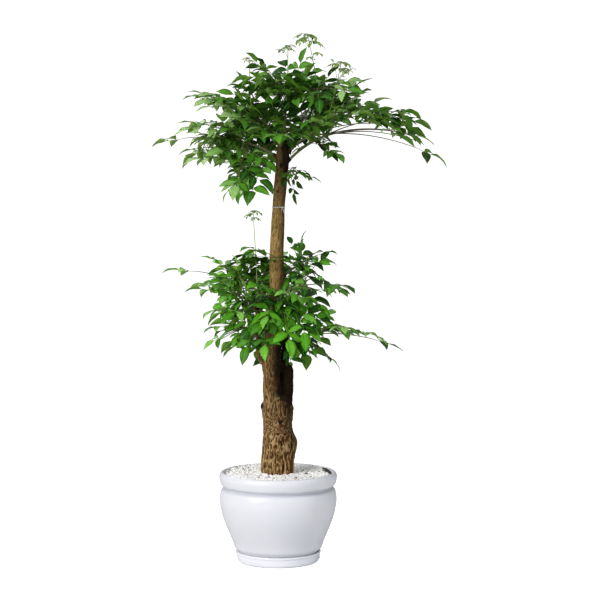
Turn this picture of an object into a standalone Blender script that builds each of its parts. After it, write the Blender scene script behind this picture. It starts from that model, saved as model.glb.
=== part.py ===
"""China doll plant grown as a two-tier tree, in a glazed pot on a saucer.

Metres, +Z up. X runs to the right and Y away from the side that the plant is seen from.
The origin is the centre of the saucer's underside, where the whole plant rests.
"""
import math
import random
from collections import namedtuple

import bmesh
import bpy
from mathutils import Matrix, Vector
from mathutils.bvhtree import BVHTree

COLLECTION = "china_doll_plant"
GAP = 0.0003
UP = Vector((0.0, 0.0, 1.0))
TURN_STEPS = 32

# Saucer
SAUCER_RIM_RADIUS = 0.1445
SAUCER_FOOT_RADIUS = 0.1325
SAUCER_FLOOR_RADIUS = 0.1290
SAUCER_HEIGHT = 0.0360
SAUCER_FLOOR = 0.0100
SAUCER_WALL = 0.0060
SAUCER_BELLY = ((0.1432, 0.0210), (0.1370, 0.0045))

# All heights below this line are measured from a level this far above the saucer's underside
STAND = 0.0080

# Pot, its outline as radius and height, from the rim's top down
POT_FOOT = SAUCER_FLOOR + GAP - STAND
POT_TOP = 0.2965
POT_FLOOR = 0.0180
FOOT_RADIUS = 0.1285
FOOT_RING = 0.0240
FOOT_RECESS = 0.0050
DRAIN_RADIUS = 0.0120
RIM_OUTLINE = ((0.1800, 0.2875), (0.1845, 0.2950), (0.1900, POT_TOP), (0.1955, 0.2930),
               (0.2000, 0.2820), (0.1980, 0.2700))
BODY_OUTLINE = ((0.1940, 0.2620), (0.1885, 0.2520), (0.1945, 0.2360), (0.1985, 0.2020),
                (0.1925, 0.1620), (0.1830, 0.1300), (0.1700, 0.0980), (0.1560, 0.0640),
                (0.1485, 0.0420), (0.1400, 0.0330), (FOOT_RADIUS, 0.0203))
INNER_WALL = ((0.1800, 0.2875), (0.1775, 0.2560), (0.1875, 0.2020), (0.1720, 0.1300),
              (0.1370, 0.0480), (0.1200, POT_FLOOR))

# Soil and gravel
SOIL_TOP = 0.2620
GRAVEL_TOP = 0.2800
GRAVEL_RELIEF = 0.0050
GRAVEL_RINGS = 8
BARE_SPOT_ANGLE = math.radians(35.0)
BARE_SPOT_SPREAD = math.radians(20.0)
BARE_SPOT_RADIUS = 0.165
BARE_SPOT_WIDTH = 0.008
BARE_SPOT_DEPTH = 0.0120

# Trunk
BURIED_RADIUS = 0.0500
BURIED_BOTTOM = 0.1650
TRUNK_SIDES = 24
STEM_SIDES = 14
ARM_SIDES = 12
RIDGE_DEPTH = 0.0022
COLLAR_RADII = (0.0085, 0.0070)
COLLAR_REACH = 0.0120
COLLAR_RISE = 0.25

Section = namedtuple("Section", "x y z radius")

# Foot of the trunk, from where it leaves the gravel to the fork
FOOT_SECTIONS = (
    Section(-0.002, 0.000, 0.2830, 0.0530),
    Section(-0.002, 0.000, 0.3050, 0.0555),
    Section(-0.001, 0.000, 0.3350, 0.0550),
    Section(0.003, 0.000, 0.3690, 0.0565),
    Section(0.006, 0.000, 0.3960, 0.0570),
    Section(0.004, 0.000, 0.4200, 0.0520),
    Section(0.000, 0.000, 0.4540, 0.0480),
    Section(-0.001, 0.000, 0.4900, 0.0515),
    Section(-0.002, 0.000, 0.5200, 0.0500),
    Section(0.001, 0.001, 0.5450, 0.0450),
    Section(0.002, 0.002, 0.5600, 0.0330),
)

# Tall stem, in front of the fork's shorter arm
TALL_STEM = (
    Section(-0.014, -0.006, 0.5000, 0.0290),
    Section(-0.018, -0.010, 0.5550, 0.0300),
    Section(-0.020, -0.012, 0.5900, 0.0287),
    Section(-0.022, -0.012, 0.6240, 0.0267),
    Section(-0.024, -0.011, 0.6550, 0.0290),
    Section(-0.020, -0.008, 0.6900, 0.0280),
    Section(-0.014, -0.004, 0.7430, 0.0261),
    Section(-0.007, -0.001, 0.8200, 0.0247),
    Section(-0.005, 0.000, 0.9100, 0.0240),
    Section(-0.005, 0.000, 1.0100, 0.0236),
    Section(-0.001, 0.000, 1.1100, 0.0224),
    Section(0.003, 0.000, 1.1950, 0.0211),
    Section(0.010, 0.000, 1.2800, 0.0209),
    Section(0.016, 0.000, 1.3500, 0.0215),
    Section(0.019, 0.000, 1.3950, 0.0205),
    Section(0.020, 0.000, 1.4120, 0.0130),
)

# Cut arm of the fork, to the right and a little behind
CUT_ARM = (
    Section(0.0200, 0.010, 0.5050, 0.0250),
    Section(0.0265, 0.016, 0.5550, 0.0250),
    Section(0.0280, 0.019, 0.5900, 0.0246),
    Section(0.0290, 0.019, 0.6230, 0.0240),
    Section(0.0310, 0.019, 0.6430, 0.0205),
    Section(0.0320, 0.018, 0.6560, 0.0110),
)

# Leader that grows on from the cut arm
LEADER = (
    Section(0.024, 0.016, 0.6100, 0.0120),
    Section(0.023, 0.017, 0.6600, 0.0125),
    Section(0.024, 0.016, 0.7100, 0.0115),
    Section(0.030, 0.018, 0.7600, 0.0105),
    Section(0.036, 0.020, 0.8100, 0.0090),
)

# Side stem to the left, with a pale young shoot growing on from its top
SIDE_STEM = (
    Section(-0.030, -0.010, 0.6480, 0.0100),
    Section(-0.054, -0.013, 0.6720, 0.0095),
    Section(-0.066, -0.012, 0.7060, 0.0088),
    Section(-0.0690, -0.006, 0.7730, 0.0084),
    Section(-0.0690, 0.000, 0.8750, 0.0070),
)

# Healed knots, pressed into the trunk's sides
KNOTS = (
    Section(-0.047, -0.008, 0.5180, 0.0120),
    Section(0.047, 0.006, 0.4000, 0.0170),
    Section(0.038, -0.016, 0.5150, 0.0130),
    Section(-0.0300, -0.012, 0.6650, 0.0120),
)

# Thread tied round the tall stem
TIE_HEIGHT = 1.1905
TIE_CLEARANCE = 0.0004
TIE_RADIUS = 0.0009
TIE_STEPS = 14
TIE_KNOT_RADIUS = 0.0024

# Leafy shoots: what carries each one, the height of its seat, its tip and the tips of its leaves
Shoot = namedtuple("Shoot", "name carrier seat tip fronds")
SHOOTS = (
    Shoot("upper_shoot_left_low", TALL_STEM, 1.300, (-0.080, -0.045, 1.335),
          ((-0.320, -0.120, 1.333), (-0.233, -0.120, 1.228), (-0.140, -0.160, 1.190))),
    Shoot("upper_shoot_left", TALL_STEM, 1.340, (-0.110, 0.010, 1.405),
          ((-0.440, 0.020, 1.392), (-0.340, -0.100, 1.480), (-0.310, 0.200, 1.420))),
    Shoot("upper_shoot_left_high", TALL_STEM, 1.385, (-0.070, 0.010, 1.490),
          ((-0.330, 0.120, 1.562), (-0.150, -0.080, 1.678), (-0.145, 0.140, 1.640),
           (-0.130, -0.180, 1.560))),
    Shoot("upper_shoot_front", TALL_STEM, 1.370, (-0.010, -0.110, 1.430),
          ((-0.180, -0.320, 1.480), (0.010, -0.380, 1.400), (0.150, -0.330, 1.460))),
    Shoot("upper_shoot_top", TALL_STEM, 1.400, (0.030, -0.015, 1.560),
          ((-0.075, -0.050, 1.690), (0.098, 0.030, 1.716), (0.130, -0.130, 1.650),
           (0.000, -0.190, 1.600))),
    Shoot("upper_shoot_right_high", TALL_STEM, 1.375, (0.120, 0.060, 1.490),
          ((0.250, 0.100, 1.650), (0.318, -0.020, 1.615), (0.190, 0.230, 1.600),
           (0.200, -0.100, 1.655))),
    Shoot("upper_shoot_right", TALL_STEM, 1.352, (0.130, -0.035, 1.440),
          ((0.385, 0.060, 1.548), (0.492, -0.030, 1.500), (0.340, -0.180, 1.520))),
    Shoot("upper_shoot_right_long", TALL_STEM, 1.325, (0.185, 0.010, 1.441),
          ((0.585, -0.010, 1.358), (0.520, 0.140, 1.412), (0.226, -0.100, 1.330))),
    Shoot("upper_shoot_right_low", TALL_STEM, 1.275, (0.050, -0.030, 1.310),
          ((0.130, -0.010, 1.278), (0.100, -0.070, 1.225))),
    Shoot("upper_shoot_back", TALL_STEM, 1.365, (0.015, 0.110, 1.440),
          ((0.040, 0.390, 1.490), (-0.190, 0.320, 1.490), (0.260, 0.310, 1.470))),
    Shoot("lower_shoot_left_long", TALL_STEM, 0.860, (-0.130, 0.040, 0.930),
          ((-0.403, 0.040, 0.974), (-0.267, 0.080, 1.047), (-0.230, 0.170, 0.900))),
    Shoot("lower_shoot_left", SIDE_STEM, 0.840, (-0.120, -0.040, 0.890),
          ((-0.317, -0.040, 0.907), (-0.150, -0.060, 1.030), (-0.220, -0.190, 0.950))),
    Shoot("lower_shoot_left_down", SIDE_STEM, 0.760, (-0.120, -0.050, 0.790),
          ((-0.256, -0.060, 0.772), (-0.280, -0.120, 0.680), (-0.210, -0.170, 0.750))),
    Shoot("lower_shoot_front_left", TALL_STEM, 0.790, (-0.060, -0.110, 0.850),
          ((-0.180, -0.250, 0.840), (-0.122, -0.200, 0.663), (-0.040, -0.235, 0.672))),
    Shoot("lower_shoot_front", TALL_STEM, 0.850, (0.010, -0.120, 0.910),
          ((-0.100, -0.300, 0.930), (0.050, -0.270, 0.690), (0.060, -0.320, 0.900),
           (-0.050, -0.270, 0.790))),
    Shoot("lower_shoot_right_low", LEADER, 0.720, (0.110, -0.020, 0.765),
          ((0.442, 0.000, 0.706), (0.210, -0.120, 0.670), (0.140, -0.140, 0.590))),
    Shoot("lower_shoot_right", TALL_STEM, 0.880, (0.100, -0.030, 0.930),
          ((0.335, 0.000, 0.878), (0.230, -0.150, 0.850), (0.150, -0.200, 0.950))),
    Shoot("lower_shoot_right_high", TALL_STEM, 0.930, (0.080, 0.040, 0.995),
          ((0.205, 0.060, 1.037), (0.090, 0.030, 1.095), (0.203, 0.120, 0.950))),
    Shoot("lower_shoot_back", TALL_STEM, 0.820, (0.010, 0.110, 0.880),
          ((-0.180, 0.300, 0.880), (0.010, 0.340, 0.930), (0.210, 0.290, 0.880))),
)

# Pale young shoots: what each one grows on from, its tip and how far its leaves reach
Sprout = namedtuple("Sprout", "name carrier tip spread")
SPROUTS = (
    Sprout("young_shoot_top", "upper_shoot_right_high", (0.097, 0.100, 1.782), 0.055),
    Sprout("young_shoot_top_left", "upper_shoot_top", (0.034, 0.010, 1.738), 0.035),
    Sprout("young_shoot_top_right", "upper_shoot_right", (0.212, -0.050, 1.676), 0.050),
    Sprout("young_shoot_far_left", "upper_shoot_left_high", (-0.092, -0.030, 1.703), 0.030),
    Sprout("young_shoot_lone", "side_stem", (-0.084, 0.000, 1.186), 0.035),
)

# Ribs that stay bare for longer: the share of its stations that each rib's leaves start after
BARE_RIBS = {("upper_shoot_right_long", 0): 0.62, ("upper_shoot_right_long", 1): 0.42}

# Stems of the shoots
SHOOT_RADII = (0.0056, 0.0036)
SHOOT_STRAIGHT = 0.007
SHOOT_POINTS = 4
SHOOT_BEND = 0.45
SPROUT_RADII = (0.0030, 0.0016)
SPROUT_STRAIGHT = 0.005
SPROUT_BEND = 0.18
SPROUT_POINTS = 4
SPROUT_LEAVES = 3
SPROUT_DROOP = (0.10, 0.50)
SPROUT_TILT = 0.35
SPROUT_LEAFLET = 0.48
SPROUT_STALK = 12.0

# Leaves: where they leave the shoot, their ribs and where their side leaves stand
FROND_SHARES = (0.82, 0.70, 0.56, 0.42)
FROND_LIFT = (0.12, 0.20)
FROND_ROLL = 0.45
RIB_WIDTHS = (0.0042, 0.0028)
RIB_HEIGHT = 0.0013
BARE_SHARE = 0.14
STATION_SPACING = 0.056
FULL_LENGTH = 0.24
SMALLEST_SCALE = 0.60
SIDE_ANGLE = math.radians(56.0)
STALK_FOOT = 0.0045

# Side leaves and their leaflets
PAIR_OFFSET = 0.030
PAIR_SPACING = 0.034
TWO_PAIRS_FROM = 0.24
LEAFLET_ANGLE = math.radians(61.0)
LEAFLET_SAG = (0.25, 0.85)
LEAFLET_LENGTH = 0.072
LEAFLET_WIDTH = 0.54
TERMINAL_REACH = PAIR_OFFSET + 0.6 * PAIR_SPACING + 1.05 * LEAFLET_LENGTH
LEAFLET_WIDEST = 0.42
LEAFLET_FOLD = 0.05
NOTCH_BEFORE = 0.003
NOTCH_AFTER = 0.007
BLADE_HEIGHT = 0.0011

# How a side leaf may turn to stay clear of its neighbours, as swing and rise
CLEARANCE = 0.0020
TEST_GROWTH = 1.07
TURNS = ((0.0, 0.0), (0.15, 0.0), (-0.15, 0.0), (0.0, 0.25), (0.0, -0.25), (0.15, 0.25),
         (-0.15, 0.25), (0.15, -0.25), (-0.15, -0.25), (0.28, 0.0), (-0.28, 0.0), (0.0, 0.5),
         (0.0, -0.5), (0.28, 0.5), (-0.28, 0.5), (0.28, -0.5), (-0.28, -0.5))

Frond = namedtuple("Frond", "path normals widths leaves")
SideLeaf = namedtuple("SideLeaf", "root along normal pairs length scale seed")

COLOURS = {
    "glaze": ((0.80, 0.80, 0.82), 0.12, 0.0),
    "saucer_glaze": ((0.84, 0.84, 0.86), 0.12, 0.0),
    "soil": ((0.045, 0.030, 0.020), 0.95, 0.0),
    "gravel": ((0.80, 0.79, 0.77), 0.75, 0.0),
    "bark": ((0.22, 0.13, 0.055), 0.90, 0.0),
    "leaf_upper": ((0.035, 0.120, 0.015), 0.40, 0.0),
    "leaf_lower": ((0.070, 0.210, 0.025), 0.40, 0.0),
    "leaf_young": ((0.260, 0.420, 0.090), 0.45, 0.0),
    "thread": ((0.75, 0.75, 0.72), 0.70, 0.0),
}


def clear_scene():
    """Remove every object that the file starts with."""
    for item in list(bpy.data.objects):
        bpy.data.objects.remove(item, do_unlink=True)


def make_collection(name):
    collection = bpy.data.collections.new(name)
    bpy.context.scene.collection.children.link(collection)
    return collection


def make_material(name):
    colour, roughness, metallic = COLOURS[name]
    material = bpy.data.materials.new(name)
    material.use_nodes = True
    shader = material.node_tree.nodes["Principled BSDF"]
    shader.inputs["Base Color"].default_value = (*colour, 1.0)
    shader.inputs["Roughness"].default_value = roughness
    shader.inputs["Metallic"].default_value = metallic
    return material


def add_object(name, mesh, parts, material=None):
    item = bpy.data.objects.new(name, mesh)
    parts.objects.link(item)
    if material:
        mesh.materials.clear()
        mesh.materials.append(material)
    return item


def mesh_from(points, faces):
    """Closed mesh from computed points and faces, with its faces turned outwards."""
    mesh = bpy.data.meshes.new("shape")
    mesh.from_pydata([tuple(point) for point in points], [], faces)
    turn_outwards(mesh)
    return mesh


def turn_outwards(mesh):
    work = bmesh.new()
    work.from_mesh(mesh)
    bmesh.ops.recalc_face_normals(work, faces=work.faces)
    work.to_mesh(mesh)
    work.free()


def apply_modifiers(item):
    """Give the object the mesh that its modifiers make, and drop the modifiers."""
    evaluated = item.evaluated_get(bpy.context.evaluated_depsgraph_get())
    mesh = bpy.data.meshes.new_from_object(evaluated)
    item.modifiers.clear()
    item.data = mesh


def turned(name, profile, parts, material):
    """Solid of revolution whose profile runs down its outer side from top to bottom."""
    mesh = bpy.data.meshes.new(name)
    edges = [(index, index + 1) for index in range(len(profile) - 1)]
    if profile[0][0] > 0.0:
        edges.append((len(profile) - 1, 0))
    mesh.from_pydata([(radius, 0.0, height) for radius, height in profile], edges, [])
    item = add_object(name, mesh, parts)
    screw = item.modifiers.new("Screw", "SCREW")
    screw.steps = TURN_STEPS
    screw.render_steps = TURN_STEPS
    screw.use_merge_vertices = True
    screw.merge_threshold = 0.00005
    apply_modifiers(item)
    turn_outwards(item.data)
    item.data.materials.clear()
    item.data.materials.append(material)
    item.data.shade_smooth()
    item.data.set_sharp_from_angle(angle=math.radians(40.0))
    return item


def tube_mesh(points, radii, resolution=1):
    """Solid tube along a path, from a POLY curve with a bevel and filled caps."""
    curve = bpy.data.curves.new("stem", "CURVE")
    curve.dimensions = "3D"
    curve.bevel_depth = 1.0
    curve.bevel_resolution = resolution
    curve.use_fill_caps = True
    spline = curve.splines.new("POLY")
    spline.points.add(len(points) - 1)
    for place, point, radius in zip(spline.points, points, radii):
        place.co = (*point, 1.0)
        place.radius = radius
    holder = bpy.data.objects.new("stem", curve)
    bpy.context.scene.collection.objects.link(holder)
    evaluated = holder.evaluated_get(bpy.context.evaluated_depsgraph_get())
    mesh = bpy.data.meshes.new_from_object(evaluated)
    bpy.data.objects.remove(holder, do_unlink=True)
    work = bmesh.new()
    work.from_mesh(mesh)
    bmesh.ops.remove_doubles(work, verts=work.verts, dist=0.00002)
    bmesh.ops.recalc_face_normals(work, faces=work.faces)
    work.to_mesh(mesh)
    work.free()
    return mesh


def ball_mesh(centre, radius):
    work = bmesh.new()
    bmesh.ops.create_icosphere(work, subdivisions=1, radius=radius)
    bmesh.ops.translate(work, verts=work.verts, vec=centre)
    mesh = bpy.data.meshes.new("ball")
    work.to_mesh(mesh)
    work.free()
    return mesh


def unite(item, meshes):
    """Fuse the meshes into the object with one Boolean union on their collection."""
    material = item.data.materials[0]
    operands = bpy.data.collections.new(item.name + "_operands")
    bpy.context.scene.collection.children.link(operands)
    for index, mesh in enumerate(meshes):
        operand = bpy.data.objects.new(f"{item.name}_operand_{index}", mesh)
        operand.hide_render = True
        operand.display_type = "WIRE"
        operands.objects.link(operand)
    union = item.modifiers.new("Union", "BOOLEAN")
    union.operation = "UNION"
    union.operand_type = "COLLECTION"
    union.collection = operands
    apply_modifiers(item)
    for operand in list(operands.objects):
        bpy.data.objects.remove(operand, do_unlink=True)
    bpy.data.collections.remove(operands)
    item.data.materials.clear()
    item.data.materials.append(material)


def arc(centre, radius, start, end, count):
    """Points on a circle's arc in the profile plane, from one angle to the other in degrees."""
    angles = [math.radians(start + (end - start) * index / (count - 1)) for index in range(count)]
    return [(centre[0] + radius * math.cos(angle), centre[1] + radius * math.sin(angle))
            for angle in angles]


def build_saucer(parts, material):
    lip = SAUCER_WALL / 2.0
    profile = [(0.0, SAUCER_FLOOR), (SAUCER_FLOOR_RADIUS, SAUCER_FLOOR)]
    profile += [(SAUCER_RIM_RADIUS - SAUCER_WALL, SAUCER_HEIGHT - lip)]
    profile += arc((SAUCER_RIM_RADIUS - lip, SAUCER_HEIGHT - lip), lip, 120.0, 0.0, 3)
    profile += SAUCER_BELLY
    profile += [(SAUCER_FOOT_RADIUS, 0.0), (0.0, 0.0)]
    return turned("saucer", profile, parts, material)


def build_pot(parts, material):
    """Pot with a rolled rim, a foot ring under it and a hole for drainage in its floor."""
    recess = POT_FOOT + FOOT_RECESS
    foot = [(FOOT_RADIUS - 0.003, POT_FOOT), (FOOT_RADIUS - FOOT_RING, POT_FOOT),
            (FOOT_RADIUS - FOOT_RING - FOOT_RECESS, recess), (DRAIN_RADIUS, recess)]
    profile = [(DRAIN_RADIUS, POT_FLOOR), *INNER_WALL[:0:-1], *RIM_OUTLINE, *BODY_OUTLINE, *foot]
    return turned("pot", profile, parts, material)


def radius_inside(height):
    """Radius of the pot's inner wall at a height, read off its straight stretches."""
    for (upper_radius, upper), (lower_radius, lower) in zip(INNER_WALL, INNER_WALL[1:]):
        if lower <= height <= upper:
            share = (height - lower) / (upper - lower)
            return lower_radius + share * (upper_radius - lower_radius)
    return INNER_WALL[0][0]


def build_soil(parts, material):
    """Soil that fills the pot, with a plain hole for the buried end of the trunk."""
    hole = BURIED_RADIUS + 2.0 * GAP
    side = [(radius - 3.0 * GAP, height) for radius, height in INNER_WALL
            if POT_FLOOR < height < SOIL_TOP]
    profile = [(0.0, BURIED_BOTTOM - GAP), (hole, BURIED_BOTTOM - GAP), (hole, SOIL_TOP)]
    profile += [(radius_inside(SOIL_TOP) - 3.0 * GAP, SOIL_TOP)] + side
    profile += [(INNER_WALL[-1][0] - 3.0 * GAP, POT_FLOOR + GAP), (0.0, POT_FLOOR + GAP)]
    return turned("potting_soil", profile, parts, material)


def build_gravel(parts, material):
    """Bed of gravel whose top is raised stone by stone, with a hole for the trunk."""
    hole = BURIED_RADIUS + 2.0 * GAP
    bottom = SOIL_TOP + GAP
    outer_low = radius_inside(bottom) - 3.0 * GAP
    outer_high = radius_inside(GRAVEL_TOP) - 3.0 * GAP
    radii = [hole + (outer_high - hole) * index / GRAVEL_RINGS for index in range(GRAVEL_RINGS + 1)]
    profile = [(radius, GRAVEL_TOP) for radius in radii] + [(outer_low, bottom), (hole, bottom)]
    item = turned("pebbles", profile, parts, material)
    draw = random.Random("pebbles")
    for vertex in item.data.vertices:
        radius = math.hypot(vertex.co.x, vertex.co.y)
        if vertex.co.z < GRAVEL_TOP - GAP or not radii[1] * 0.99 < radius < radii[-2] * 1.01:
            continue
        angle = math.atan2(vertex.co.y, vertex.co.x)
        near = math.exp(-((angle - BARE_SPOT_ANGLE) / BARE_SPOT_SPREAD) ** 2)
        near *= math.exp(-((radius - BARE_SPOT_RADIUS) / BARE_SPOT_WIDTH) ** 2)
        vertex.co.z += draw.uniform(-0.4, 1.0) * GRAVEL_RELIEF - BARE_SPOT_DEPTH * near
    item.data.shade_flat()
    return item


def ring(section, sides, ridge):
    """Points around one section, with every second one pressed in by the ridge's depth."""
    points = []
    for index in range(sides):
        angle = 2.0 * math.pi * index / sides
        waves = 0.025 * math.sin(3.0 * angle + 9.0 * section.z) + 0.018 * math.sin(5.0 * angle)
        radius = section.radius * (1.0 + waves) + (ridge if index % 2 else -ridge)
        points.append(Vector((section.x + radius * math.cos(angle),
                              section.y + radius * math.sin(angle), section.z)))
    return points


def plain_ring(section, sides):
    return [Vector((section.x + section.radius * math.cos(angle),
                    section.y + section.radius * math.sin(angle), section.z))
            for angle in (2.0 * math.pi * index / sides for index in range(sides))]


def loft(rings):
    """Closed mesh through rings that have the same number of points, capped at both ends."""
    sides = len(rings[0])
    points = [point for loop in rings for point in loop]
    points += [sum(rings[0], Vector()) / sides, sum(rings[-1], Vector()) / sides]
    faces = []
    for level in range(len(rings) - 1):
        for index in range(sides):
            after = (index + 1) % sides
            low, high = level * sides, (level + 1) * sides
            faces.append((low + index, low + after, high + after))
            faces.append((low + index, high + after, high + index))
    last = (len(rings) - 1) * sides
    for index in range(sides):
        after = (index + 1) % sides
        faces.append((len(points) - 2, after, index))
        faces.append((len(points) - 1, last + index, last + after))
    return mesh_from(points, faces)


def section_at(sections, height):
    """Centre and radius of a stem at a height, between its two nearest sections."""
    for lower, upper in zip(sections, sections[1:]):
        if lower.z <= height <= upper.z:
            share = (height - lower.z) / (upper.z - lower.z)
            return Section(*(low + share * (high - low) for low, high in zip(lower, upper)))
    return sections[-1]


def seat_of(shoot):
    """Where a shoot starts on its stem's axis, which way it leaves, and how far its collar goes."""
    section = section_at(shoot.carrier, shoot.seat)
    start = Vector(section[:3])
    lean = Vector(shoot.tip) - start
    direction = (lean.normalized() + COLLAR_RISE * UP).normalized()
    outward = max(0.6, math.hypot(direction.x, direction.y))
    reach = section.radius / outward + COLLAR_REACH
    return start, direction, reach


def build_trunk(parts, material):
    """Trunk with its fork, its side stems, its knots and a collar under each leafy shoot."""
    buried = [Section(0.0, 0.0, BURIED_BOTTOM, BURIED_RADIUS),
              Section(0.0, 0.0, GRAVEL_TOP + GAP, BURIED_RADIUS)]
    rings = [plain_ring(section, TRUNK_SIDES) for section in buried]
    rings += [ring(section, TRUNK_SIDES, RIDGE_DEPTH) for section in FOOT_SECTIONS]
    trunk = add_object("trunk", loft(rings), parts, material)
    limbs = [loft([ring(section, STEM_SIDES, 0.0) for section in TALL_STEM])]
    limbs.append(loft([ring(section, ARM_SIDES, 0.0005) for section in CUT_ARM]))
    limbs += [tube_mesh([section[:3] for section in stem], [section.radius for section in stem])
              for stem in (LEADER, SIDE_STEM)]
    limbs += [ball_mesh(knot[:3], knot.radius) for knot in KNOTS]
    for shoot in SHOOTS:
        start, direction, reach = seat_of(shoot)
        limbs.append(tube_mesh([start, start + direction * reach], COLLAR_RADII))
    unite(trunk, limbs)
    return trunk


def build_tie(parts, material):
    """Thread wound once round the tall stem, with its knot in front."""
    section = section_at(TALL_STEM, TIE_HEIGHT)
    loop_radius = section.radius * 1.045 + TIE_CLEARANCE + TIE_RADIUS
    bpy.ops.mesh.primitive_torus_add(
        major_segments=TIE_STEPS, minor_segments=3, major_radius=loop_radius,
        minor_radius=TIE_RADIUS, location=(section.x, section.y, TIE_HEIGHT))
    item = bpy.context.object
    item.name = "tie_thread"
    for collection in list(item.users_collection):
        collection.objects.unlink(item)
    parts.objects.link(item)
    item.data.materials.append(material)
    item.data.transform(item.matrix_basis)
    item.matrix_basis.identity()
    front = (section.x + 0.004, section.y - loop_radius - 0.0015, TIE_HEIGHT)
    unite(item, [ball_mesh(front, TIE_KNOT_RADIUS)])
    return item


def bezier(start, bend, end, share):
    return start * (1 - share) ** 2 + bend * 2 * share * (1 - share) + end * share ** 2


def bezier_direction(start, bend, end, share):
    return ((bend - start) * (1 - share) + (end - bend) * share).normalized()


def bent_path(start, direction, tip, straight, reach, count):
    """A short straight start out of a seat, then a smooth bend to the tip."""
    bend = start + direction * (tip - start).length * reach
    first = start + direction * straight
    return [start] + [bezier(first, bend, tip, index / count) for index in range(count + 1)]


def tapered(radii, count):
    return [radii[0] + (radii[1] - radii[0]) * index / (count - 1) for index in range(count)]


def point_along(path, share):
    """Point of a path at a share of its length."""
    lengths = [(after - before).length for before, after in zip(path, path[1:])]
    rest = share * sum(lengths)
    for before, after, length in zip(path, path[1:], lengths):
        if rest <= length:
            return before.lerp(after, rest / length)
        rest -= length
    return path[-1]


def upper_side(tangent, outward):
    """Way that a leaf's upper side faces: up, and towards the trunk where the leaf stands."""
    reference = UP - 0.5 * outward
    normal = reference - tangent * reference.dot(tangent)
    return normal.normalized()


def grow_frond(draw, start, tip):
    """One leaf: the line of its rib, the way its upper side faces, and its side leaves."""
    reach = tip - start
    length = reach.length
    scale = min(1.0, max(SMALLEST_SCALE, length / FULL_LENGTH))
    bend = start + reach * 0.48 + UP * draw.uniform(*FROND_LIFT) * length
    outward = Vector((reach.x, reach.y, 0.0)).normalized()
    rib_end = max(0.45, 1.0 - TERMINAL_REACH * scale / length)
    count = max(2, round((rib_end - BARE_SHARE) * length / (STATION_SPACING * scale)) + 1)
    shares = [0.0]
    shares += [BARE_SHARE + (rib_end - BARE_SHARE) * index / (count - 1) for index in range(count)]
    path = [bezier(start, bend, tip, share) for share in shares]
    tangents = [bezier_direction(start, bend, tip, share) for share in shares]
    roll = draw.uniform(-FROND_ROLL, FROND_ROLL)
    normals = []
    for tangent in tangents:
        normal = upper_side(tangent, outward)
        normals.append((normal + tangent.cross(normal) * roll).normalized())
    leaves = []
    for station in range(1, count):
        side = tangents[station].cross(normals[station])
        for hand in (-1.0, 1.0):
            angle = SIDE_ANGLE + draw.uniform(-0.10, 0.10)
            along = tangents[station] * math.cos(angle) + side * hand * math.sin(angle)
            along = (along - UP * draw.uniform(0.02, 0.20)).normalized()
            pairs = 2 if length > TWO_PAIRS_FROM and station < 1 + count * 0.6 else 1
            size = LEAFLET_LENGTH * scale * draw.uniform(0.86, 1.12)
            leaf = SideLeaf(path[station], along, normals[station], pairs, size, scale, draw.random())
            leaves.append((station, hand, leaf))
    along = (tangents[-1] - UP * draw.uniform(0.0, 0.12)).normalized()
    size = LEAFLET_LENGTH * scale * draw.uniform(1.0, 1.12)
    leaf = SideLeaf(path[-1], along, normals[-1], 1, size, scale, draw.random())
    leaves.append((count, 0.0, leaf))
    return Frond(path, normals, tapered(RIB_WIDTHS, len(path)), leaves)


def leaflets_of(leaf):
    """Leaflets of a side leaf: one pair at each station of its stalk, and one at its end.

    Each leaflet is its root, its direction, the way its face looks and its length. Leaflets
    stand off the stalk at an angle and hang a little.
    """
    draw = random.Random(leaf.seed)
    along = leaf.along
    normal = (leaf.normal - along * leaf.normal.dot(along)).normalized()
    side = along.cross(normal)
    sag = normal * max(0.3, normal.z)
    stations = []
    for index in range(leaf.pairs):
        root = leaf.root + along * (PAIR_OFFSET + PAIR_SPACING * index) * leaf.scale
        blades = []
        for hand in (-1.0, 1.0):
            angle = LEAFLET_ANGLE + draw.uniform(-0.10, 0.12)
            way = along * math.cos(angle) + side * hand * math.sin(angle)
            way = (way - sag * draw.uniform(*LEAFLET_SAG)).normalized()
            face = normal + side * draw.uniform(-0.3, 0.3) - along * draw.uniform(-0.1, 0.2)
            blades.append((root, way, face.normalized(), leaf.length * draw.uniform(0.80, 1.0)))
        stations.append((root, blades))
    end = leaf.root + along * (PAIR_OFFSET + PAIR_SPACING * (leaf.pairs - 0.4)) * leaf.scale
    way = (along - sag * draw.uniform(*LEAFLET_SAG) * 0.8).normalized()
    face = (normal + side * draw.uniform(-0.3, 0.3)).normalized()
    stations.append((end, [(end, way, face, leaf.length * draw.uniform(1.0, 1.15))]))
    return stations, normal, side


def blade_points(blade):
    """The three outline points of a leaflet past its root: one edge, the tip, the other edge."""
    root, way, face, length = blade
    across = way.cross(face).normalized()
    middle = root + way * length * LEAFLET_WIDEST + across.cross(way) * length * LEAFLET_FOLD
    half = length * LEAFLET_WIDTH * 0.5
    return middle - across * half, root + way * length, middle + across * half


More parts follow.
